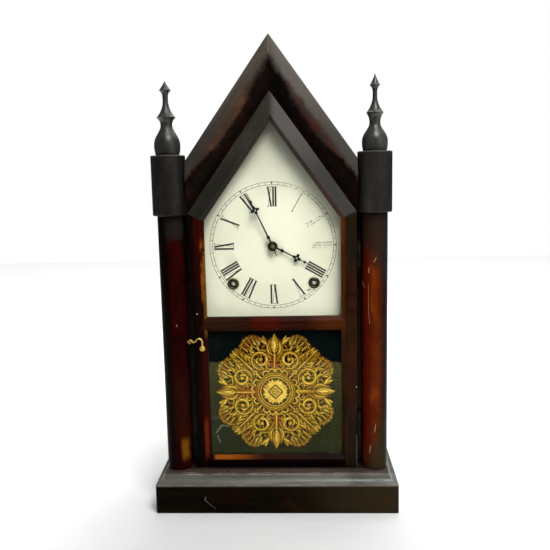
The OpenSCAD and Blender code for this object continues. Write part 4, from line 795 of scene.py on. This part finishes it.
def make_finial(name, side, places, shoulder, hollow_tip):
    """A finial turned on the axis of its column, standing on the capital."""
    foot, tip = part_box("finials")
    axis = Vector((side * COLUMN_X * MM, (foot.y + tip.y) / 2, tip.z - FINIAL_HEIGHT * MM))
    bm = bmesh.new()
    turns = 72
    rings = []
    for height, radius in finial_profile(places, shoulder, hollow_tip):
        rings.append([bm.verts.new(axis + Vector((*polar(radius, tau * k / turns), height)) * MM)
                      for k in range(turns)])
    for low, high in zip(rings, rings[1:]):
        for k in range(turns):
            bm.faces.new((low[k], low[(k + 1) % turns], high[(k + 1) % turns], high[k]))
    bm.faces.new(rings[-1])
    bm.faces.new(rings[0][::-1])
    for face in bm.faces:
        face.smooth = len(face.verts) == 4
    piece = new_piece(name, bm, "finial")
    piece.data.set_sharp_from_angle(angle=radians(50))
    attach(piece, "case")
    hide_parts("finials")


make_finial("finial_left", -1, LEFT_FINIAL, 1.28, 1.15)
make_finial("finial_right", 1, RIGHT_FINIAL, 1.3, 1.35)


# Flat prints: the dial's numerals and the tablet's painted ornament

class Print:
    """Flat polygons in the XZ plane, each at its own depth and with one value of an attribute."""

    def __init__(self, centre, front, step):
        self.centre = centre
        self.front = front
        self.step = step
        self.shapes = []

    def add(self, points, value, layer):
        self.shapes.append((points, value, layer))

    def strip(self, path, widths, value, layer=0, side=0.0):
        """A ribbon along a path. Side shifts it sideways by a share of its width."""
        left, right = [], []
        for i, (here, width) in enumerate(zip(path, widths)):
            before, after = path[max(i - 1, 0)], path[min(i + 1, len(path) - 1)]
            along = (after - before).normalized()
            across = Vector((-along.y, along.x))
            middle = here + across * side * width
            left.append(middle + across * width / 2)
            right.append(middle - across * width / 2)
        for i in range(len(path) - 1):
            self.add([left[i], right[i], right[i + 1], left[i + 1]], value, layer)

    def build(self, name, attribute, finish, body, slot):
        bm = bmesh.new()
        values = bm.faces.layers.float.new(attribute)
        for points, value, layer in self.shapes:
            y = self.front - layer * self.step
            places = ((self.centre[0] + p[0], y, self.centre[1] + p[1]) for p in points)
            face = bm.faces.new([bm.verts.new(Vector(place) * MM) for place in places])
            face[values] = value
            face.normal_update()
            if face.normal.y > 0:
                face.normal_flip()
        bmesh.ops.dissolve_degenerate(bm, dist=1e-7, edges=bm.edges)
        piece = new_piece(name, bm, finish)
        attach(piece, body)


def circle(centre, radius, sides):
    """Corners of a regular polygon."""
    return [centre + polar(radius, tau * k / sides) for k in range(sides)]


NUMERALS = ["XII", "I", "II", "III", "IIII", "V", "VI", "VII", "VIII", "IX", "X", "XI"]
NUMERAL_WEAR = [0.06, 0.24, 0.565, 0.568, 0.14, 0.18, 0.06, 0.08, 0.1, 0.1, 0.12, 0.06]
FOOT_R, HEAD_R = 42.0, 62.4
THICK, THIN, HAIR, SERIF, RING = 1.8, 0.75, 0.42, 0.5, 0.42
WIDTH_AND_LEAN = {"I": (2.6, 0.0), "V": (5.2, 2.3), "X": (5.2, 1.6)}


def outward(degrees):
    """Direction on the dial, by the angle clockwise from the top."""
    angle = radians(degrees)
    return Vector((sin(angle), cos(angle)))


def numeral(dial_print, word, hour, wear):
    """One numeral, its feet towards the middle of the dial."""
    out = outward(hour * 30)
    across = Vector((out.y, -out.x))

    def bar(x0, r0, x1, r1, width, faded):
        ends = [across * x0 + out * r0, across * x1 + out * r1]
        dial_print.strip(ends, [width, width], min(faded, 0.8))

    at = -sum(WIDTH_AND_LEAN[letter][0] for letter in word) / 2
    for letter in word:
        width, lean = WIDTH_AND_LEAN[letter]
        middle = at + width / 2
        end = lean if letter == "X" else 0.0
        bar(middle - lean, HEAD_R, middle + end, FOOT_R, THIN if word == "I" else THICK, wear)
        if lean:
            bar(middle + lean, HEAD_R, middle - end, FOOT_R, HAIR, wear + 0.3)
        for radius, half in ((FOOT_R, end + 1.5), (HEAD_R, lean + 1.5)):
            bar(middle - half, radius, middle + half, radius, SERIF, wear + 0.12)
        at += width


def make_dial_print():
    dial_print = Print((0, DIAL_Z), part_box("dial")[0].y / MM - 0.05, 0.004)
    for hour, word in enumerate(NUMERALS):
        numeral(dial_print, word, hour, NUMERAL_WEAR[hour])
    for radius in (64.5, 67.5):
        for angle in range(0, 360, 2):
            wear = 0.34 + 0.08 * sin(radians(angle * 3 + 40)) + (0.1 if 15 < angle < 75 else 0)
            dial_print.strip([outward(angle) * radius, outward(angle + 2) * radius], [RING, RING], wear)
    for minute in range(60):
        out = outward(minute * 6)
        dial_print.strip([out * 64.7, out * 67.3], [RING, RING], 0.46 if minute % 5 else 0.36, 1)
        if minute % 5 == 0:
            dial_print.add(circle(out * 66.6, 0.95, 8), 0.1 if minute not in (5, 45) else 0.6, 2)
    dial_print.build("dial_print", "wear", "ink", "case", "dial_paint")


make_dial_print()


def bend(p0, p1, p2, p3, steps=12):
    """Points along a cubic curve."""
    p0, p1, p2, p3 = map(Vector, (p0, p1, p2, p3))
    return [p0 * (1 - t) ** 3 + p1 * 3 * t * (1 - t) ** 2 + p2 * 3 * t * t * (1 - t) + p3 * t ** 3
            for t in (i / steps for i in range(steps + 1))]


def spiral(centre, r0, r1, a0, a1, steps):
    """Points along a spiral, its angles in degrees from the outward direction."""
    return [Vector(centre) + polar(r0 + (r1 - r0) * t, radians(a0 + (a1 - a0) * t))
            for t in (i / steps for i in range(steps + 1))]


def ray(direction, start, step, count):
    """Points straight outward."""
    return [direction * (start + step * i) for i in range(count)]


def even(width):
    return lambda t: width


def taper(start, end):
    return lambda t: start + (end - start) * t


def leaf(width, fullest=0.4):
    """Width along a leaf that is pointed at both ends."""
    power = log(0.5) / log(fullest)
    return lambda t: 0.15 + width * sin(pi * t ** power)


# Tones of the ornament and its directions
OUTLINE, DEEP, GOLD, BRIGHT, PALE = 0.06, 0.36, 0.6, 0.78, 0.97
AXIS = Vector((1, 0))
DIAGONAL = polar(1, pi / 4)


class Rosette(Print):
    """Painted ornament with eight like parts. Its shapes are drawn once, with x outward along an axis."""

    layer = 0

    def copies(self, pair):
        """The turns, and the flips of a pair, that take a shape to all its places."""
        for quarter in range(4):
            for flip in ((1, -1) if pair else (1,)):
                yield Matrix.Rotation(pi / 2 * quarter, 2) @ Matrix(((1, 0), (0, flip)))

    def brush(self, path, width, tone=GOLD, pair=True, outline=0.8, shine=0.3, vein=0.0):
        """One stroke: a dark outline, a gold body and a paler streak along one side."""
        widths = [width(i / (len(path) - 1)) for i in range(len(path))]
        first, last = (path[1] - path[0]).normalized(), (path[-1] - path[-2]).normalized()
        longer = [path[0] - first * outline / 2, *path[1:-1], path[-1] + last * outline / 2]
        coats = [(longer, [w + outline * 1.4 for w in widths], OUTLINE, 0.0), (path, widths, tone, 0.0)]
        if shine:
            coats.append((path, [w * shine for w in widths], min(tone + 0.3, PALE), 0.55))
        if vein:
            coats.append((path, [w * vein for w in widths], DEEP * 0.6, -0.3))
        for move in self.copies(pair):
            for i, (line, sizes, shade, side) in enumerate(coats):
                self.strip([move @ p for p in line], sizes, shade, self.layer + i, side)
        self.layer += 4

    def dot(self, x, y, radius, tone, pair=True):
        for move in self.copies(pair):
            self.add(circle(move @ Vector((x, y)), radius, 10), tone, self.layer)
        self.layer += 1

    def plate(self, radius, tone, sides=64):
        """One disc round the middle of the ornament."""
        self.add(circle(Vector((0, 0)), radius, sides), tone, self.layer)
        self.layer += 1

    def ring(self, radius, width, tone):
        path = circle(Vector((0, 0)), radius, 96)
        self.strip([*path, path[0]], [width] * 97, tone, self.layer)
        self.layer += 1


def acanthus(rosette, root, tip, pairs, reach, lean):
    """A leaf on the diagonal: a curved rib with pairs of curling lobes, drawn for one half."""
    side = Vector((DIAGONAL.y, -DIAGONAL.x))
    for i in range(pairs):
        t = (i + 0.35) / pairs
        start = DIAGONAL * (root + (tip - root) * t) + side * 0.3
        size = reach * (0.72 + 0.5 * sin(pi * min(t + 0.15, 1)))
        end = start + (DIAGONAL * cos(lean) + side * sin(lean)) * size
        middle = start + side * size * 0.55 + DIAGONAL * size * 0.1
        curl = end + DIAGONAL * size * 0.3 - side * size * 0.2
        rosette.brush(bend(start, middle, end, curl), leaf(3.6, 0.55), GOLD - 0.06 + 0.05 * (i % 2),
                      shine=0.28, vein=0.16)


def paint_leaves(r):
    """Dark ground, filling leaves, straps on the rim and acanthus leaves on the diagonals."""
    r.brush(ray(DIAGONAL, 22, 3.5, 11), leaf(34, 0.6), 0.1, pair=False, outline=0, shine=0)

    # Small leaves that fill the ground under the large forms
    golden = 0.618034
    for k in range(54):
        angle = radians(2 + 41 * (k * golden % 1))
        root = polar(23.5 + 34 * (k + 0.5) / 54, angle)
        forward = polar(1, angle + radians(70 * sin(k * 2.4)))
        bow = Vector((-forward.y, forward.x)) * (1.3 if k % 2 else -1.3)
        path = bend(root, root + forward * 2 + bow, root + forward * 4.5 + bow, root + forward * 6.2, 6)
        r.brush(path, leaf(2.0, 0.5), DEEP + 0.06 * (k % 4), outline=0.9)

    # Straps on the rim, with stripes inside a pale outline
    strap = ((45, 36.5), (58, 34), (63, 24), (56.5, 17.5))
    r.brush(bend(*strap, 16), even(7.5), DEEP, outline=0.95, shine=0)
    for k in range(5):
        rim = bend(*strap, 50)[int((0.14 + 0.18 * k) * 50)]
        inner = rim * 0.87 + Vector((1.2, -1.6))
        r.brush([inner, (inner + rim) / 2 + Vector((0.5, 0.2)), rim], even(1.5), outline=0.5, shine=0.4)
    edge = bend((43.5, 37.5), (59.5, 37.5), (65.5, 22), (56, 15.5), 20)
    for i in (1, 4, 7, 10, 13, 16, 18):
        along = (edge[i + 1] - edge[i - 1]).normalized()
        out = Vector((-along.y, along.x))
        tip = edge[i] + out * 2.4 + along * (1.4 if i % 2 else -1.2)
        r.brush([edge[i] - out * 1.5, edge[i] + out * 0.7, tip], leaf(3.0, 0.5), outline=0.7, shine=0.35)
    r.brush(edge, even(0.7), BRIGHT, outline=0.9, shine=0)
    r.brush(spiral((55.5, 19), 3.6, 2.4, 70, 300, 14), even(0.9), PALE, shine=0)

    # Acanthus leaves
    acanthus(r, 27, 60, 6, 10.5, 0.62)
    for spread, length in ((0.34, 9.0), (0.0, 10.5)):
        path = [DIAGONAL * 55 + polar(length * i / 8, pi / 4 - spread) for i in range(9)]
        r.brush(path, leaf(4.2, 0.5), pair=spread > 0, vein=0.15)
    r.brush(ray(DIAGONAL, 24, 3.4, 11), taper(2.2, 0.8), BRIGHT, pair=False)


def paint_scrolls(r):
    """Tendrils, scrolls in pairs beside each axis, and florets with a spear leaf at its end."""
    r.brush(bend((24, 9), (30, 20), (40, 27), (50, 27)), taper(1.9, 0.9))
    r.brush(bend((46, 9), (46, 18), (50, 24), (56, 27)), taper(2.2, 0.8), GOLD - 0.08)
    for x0, y0, x1, y1, w in ((43, 20, 49, 28, 2.8), (45, 15, 53, 19, 2.6), (38, 25, 43, 32.5, 2.8),
                              (26, 16.5, 31.5, 22, 2.4), (22.5, 18, 25, 24, 2.2), (46.5, 24, 53, 24, 2.4)):
        bow = Vector((y0 - y1, x1 - x0)) * 0.18
        a, b = Vector((x0, y0)), Vector((x1, y1))
        r.brush(bend(a, a.lerp(b, 0.33) + bow, a.lerp(b, 0.66) + bow, b, 8), leaf(w), outline=0.7)

    # Scrolls, with a bud in each eye
    r.brush(spiral((35.5, 15.8), 10.4, 7.2, 205, -75, 30), taper(1.6, 3.4), outline=0.9)
    r.brush(spiral((35.5, 15.8), 7.4, 2.4, -60, -330, 26), taper(3.0, 1.3), BRIGHT, outline=0.9)
    r.brush(bend((31, 17.5), (33, 20.5), (37, 20.5), (38.5, 17), 10), leaf(3.2), outline=0.7)
    r.dot(36.2, 15.2, 2.3, OUTLINE)
    r.dot(36.2, 15.2, 1.8, BRIGHT)
    r.dot(35.6, 15.9, 0.8, PALE)
    r.brush(spiral((29.5, 6.6), 4.6, 1.8, 250, -20, 18), taper(1.2, 2.2))
    r.brush(bend((33, 3), (38, 4), (42, 6), (44, 11), 10), leaf(3.4), DEEP + 0.1, vein=0.2)

    # Florets and the spear leaf
    for tip in ((60.5, 17.5), (62.5, 12.5), (57.5, 15.5)):
        r.brush(bend((51, 7), (54, 9), (57, 11), tip, 9), leaf(3.6, 0.6), BRIGHT - 0.05)
    r.brush(bend((41, 1.5), (44, 8), (50, 8.5), (58, 3.5)), leaf(4.4, 0.5), vein=0.18)
    r.brush(ray(AXIS, 22, 2.4, 11), taper(4.4, 3.0), pair=False, outline=0.95, shine=0.25)
    r.brush(ray(AXIS, 43, 1.8, 13), leaf(8.6, 0.42), GOLD + 0.04, pair=False, outline=1.2)
    r.brush(ray(AXIS, 46, 1.4, 10), leaf(2.6, 0.5), PALE, pair=False, shine=0)
    for x, y in ((48.5, 2.6), (51.5, 2.3), (47, 0.9)):
        r.dot(x, y, 0.55, OUTLINE)


def paint_centre(r):
    """Scalloped collar, rings and the disc with its lozenge."""
    for a in (9, 27):
        middle = polar(22.6, radians(a))
        r.brush(spiral(middle, 3.3, 3.1, a - 100, a + 100, 12), even(1.5), BRIGHT)
        r.dot(middle.x - 0.4, middle.y, 1.6, DEEP)
    r.brush(ray(DIAGONAL, 20.5, 1, 6), even(1.3), PALE, pair=False, shine=0)
    r.plate(21.6, OUTLINE)
    for radius, width, tone in ((20.7, 1.5, GOLD), (18.6, 1.2, BRIGHT), (16.9, 0.8, GOLD), (15.9, 0.5, PALE)):
        r.ring(radius, width, tone)
    r.plate(12.2, PALE - 0.05)
    for a in (0, 15, 30, 45):
        tooth = polar(1, radians(a))
        r.brush(ray(tooth, 11.6, 0.9, 4), leaf(2.3, 0.4), PALE - 0.08, outline=0, shine=0)
        r.dot(tooth.x * 14.9, tooth.y * 14.9, 0.5, GOLD)
    for size, width in ((7.8, 1.4), (4.6, 0.8)):
        path = [Vector((size, 0)).lerp(Vector((0, size)), i / 4) for i in range(5)]
        r.brush(path, even(width), 0.08, pair=False, outline=0, shine=0)
    r.plate(0.9, 0.2, 12)
    r.dot(2.3, 0, 0.75, 0.2, pair=False)


def make_tablet_painting():
    low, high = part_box("tablet_glass")
    rosette = Rosette(((low.x + high.x) / 2 / MM, 126.5), PRINT_Y, 0.0018)
    paint_leaves(rosette)
    paint_scrolls(rosette)
    paint_centre(rosette)
    rosette.build("tablet_ornament", "tone", "gold", "door", "painted_tablet")


def make_tablet_ground():
    """The dark paint behind the ornament: a thin sheet between the glazing strips."""
    low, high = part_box("tablet_glass")
    inset = 3.1 * MM
    front, back = high.y + 0.95 * MM, high.y + 1.15 * MM
    bm = bmesh.new()
    for vert in bmesh.ops.create_cube(bm, size=1)["verts"]:
        vert.co = Vector((
            low.x + inset if vert.co.x < 0 else high.x - inset,
            front if vert.co.y < 0 else back,
            low.z + inset if vert.co.z < 0 else high.z - inset))
    bmesh.ops.bevel(bm, geom=bm.edges[:], offset=0.04 * MM, segments=1, affect="EDGES")
    ground = new_piece("tablet_ground", bm, "tablet")
    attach(ground, "door")


make_tablet_painting()
make_tablet_ground()


# Floor, lamps, surroundings and camera

def make_floor():
    bm = bmesh.new()
    side, front, back = 1.6, -0.587, 2.2
    corners = [(-side, front), (side, front), (side, back), (-side, back)]
    bm.faces.new([bm.verts.new((x, y, 0)) for x, y in corners])
    floor = new_piece("floor", bm, "paper")


def lamp(name, at, size, watts, aim=(0, 0, 0.24)):
    """A square lamp that the camera doesn't see."""
    data = bpy.data.lights.new(name, "AREA")
    data.size = size
    data.energy = watts
    light = link(name, data)
    light.location = at
    light.rotation_euler = (Vector(aim) - Vector(at)).to_track_quat("-Z", "Y").to_euler()
    light.visible_camera = False


def make_world():
    """White behind everything for the camera; for all other rays white behind the clock, dark in front."""
    n = Nodes(bpy.data.worlds.new("studio"))
    y = n.xyz(n.add("TexCoord").outputs["Generated"])[1]
    strength = n.between(n.mask(y, -0.1, 0.7), 0.02, 0.14)
    strength = n.calc("MAXIMUM", strength, n.add("LightPath").outputs["Is Camera Ray"])
    shine = n.add("Background", {"Color": (1, 1, 1), "Strength": strength})
    scene.world = n.end(shine, "OutputWorld")


def make_camera():
    data = bpy.data.cameras.new("camera")
    data.lens = 43.2
    data.sensor_width = 36
    camera = link("camera", data)
    yaw, pitch, roll = radians(2.371), radians(90 - 8.302), radians(-1.172)
    camera.matrix_world = (Matrix.Translation((0.03063, -0.71655, 0.3557)) @ Matrix.Rotation(yaw, 4, "Z")
                           @ Matrix.Rotation(pitch, 4, "X") @ Matrix.Rotation(roll, 4, "Z"))
    scene.camera = camera


make_floor()
lamp("key", (0.36, -0.75, 1.5), 0.64, 20)
lamp("fill", (1.0, -0.9, 0.7), 0.9, 3.4)
lamp("behind", (0.25, 0.55, 1.3), 1.2, 11, (0, 0.05, 0))
make_world()
make_camera()
scene.view_settings.view_transform = "Standard"
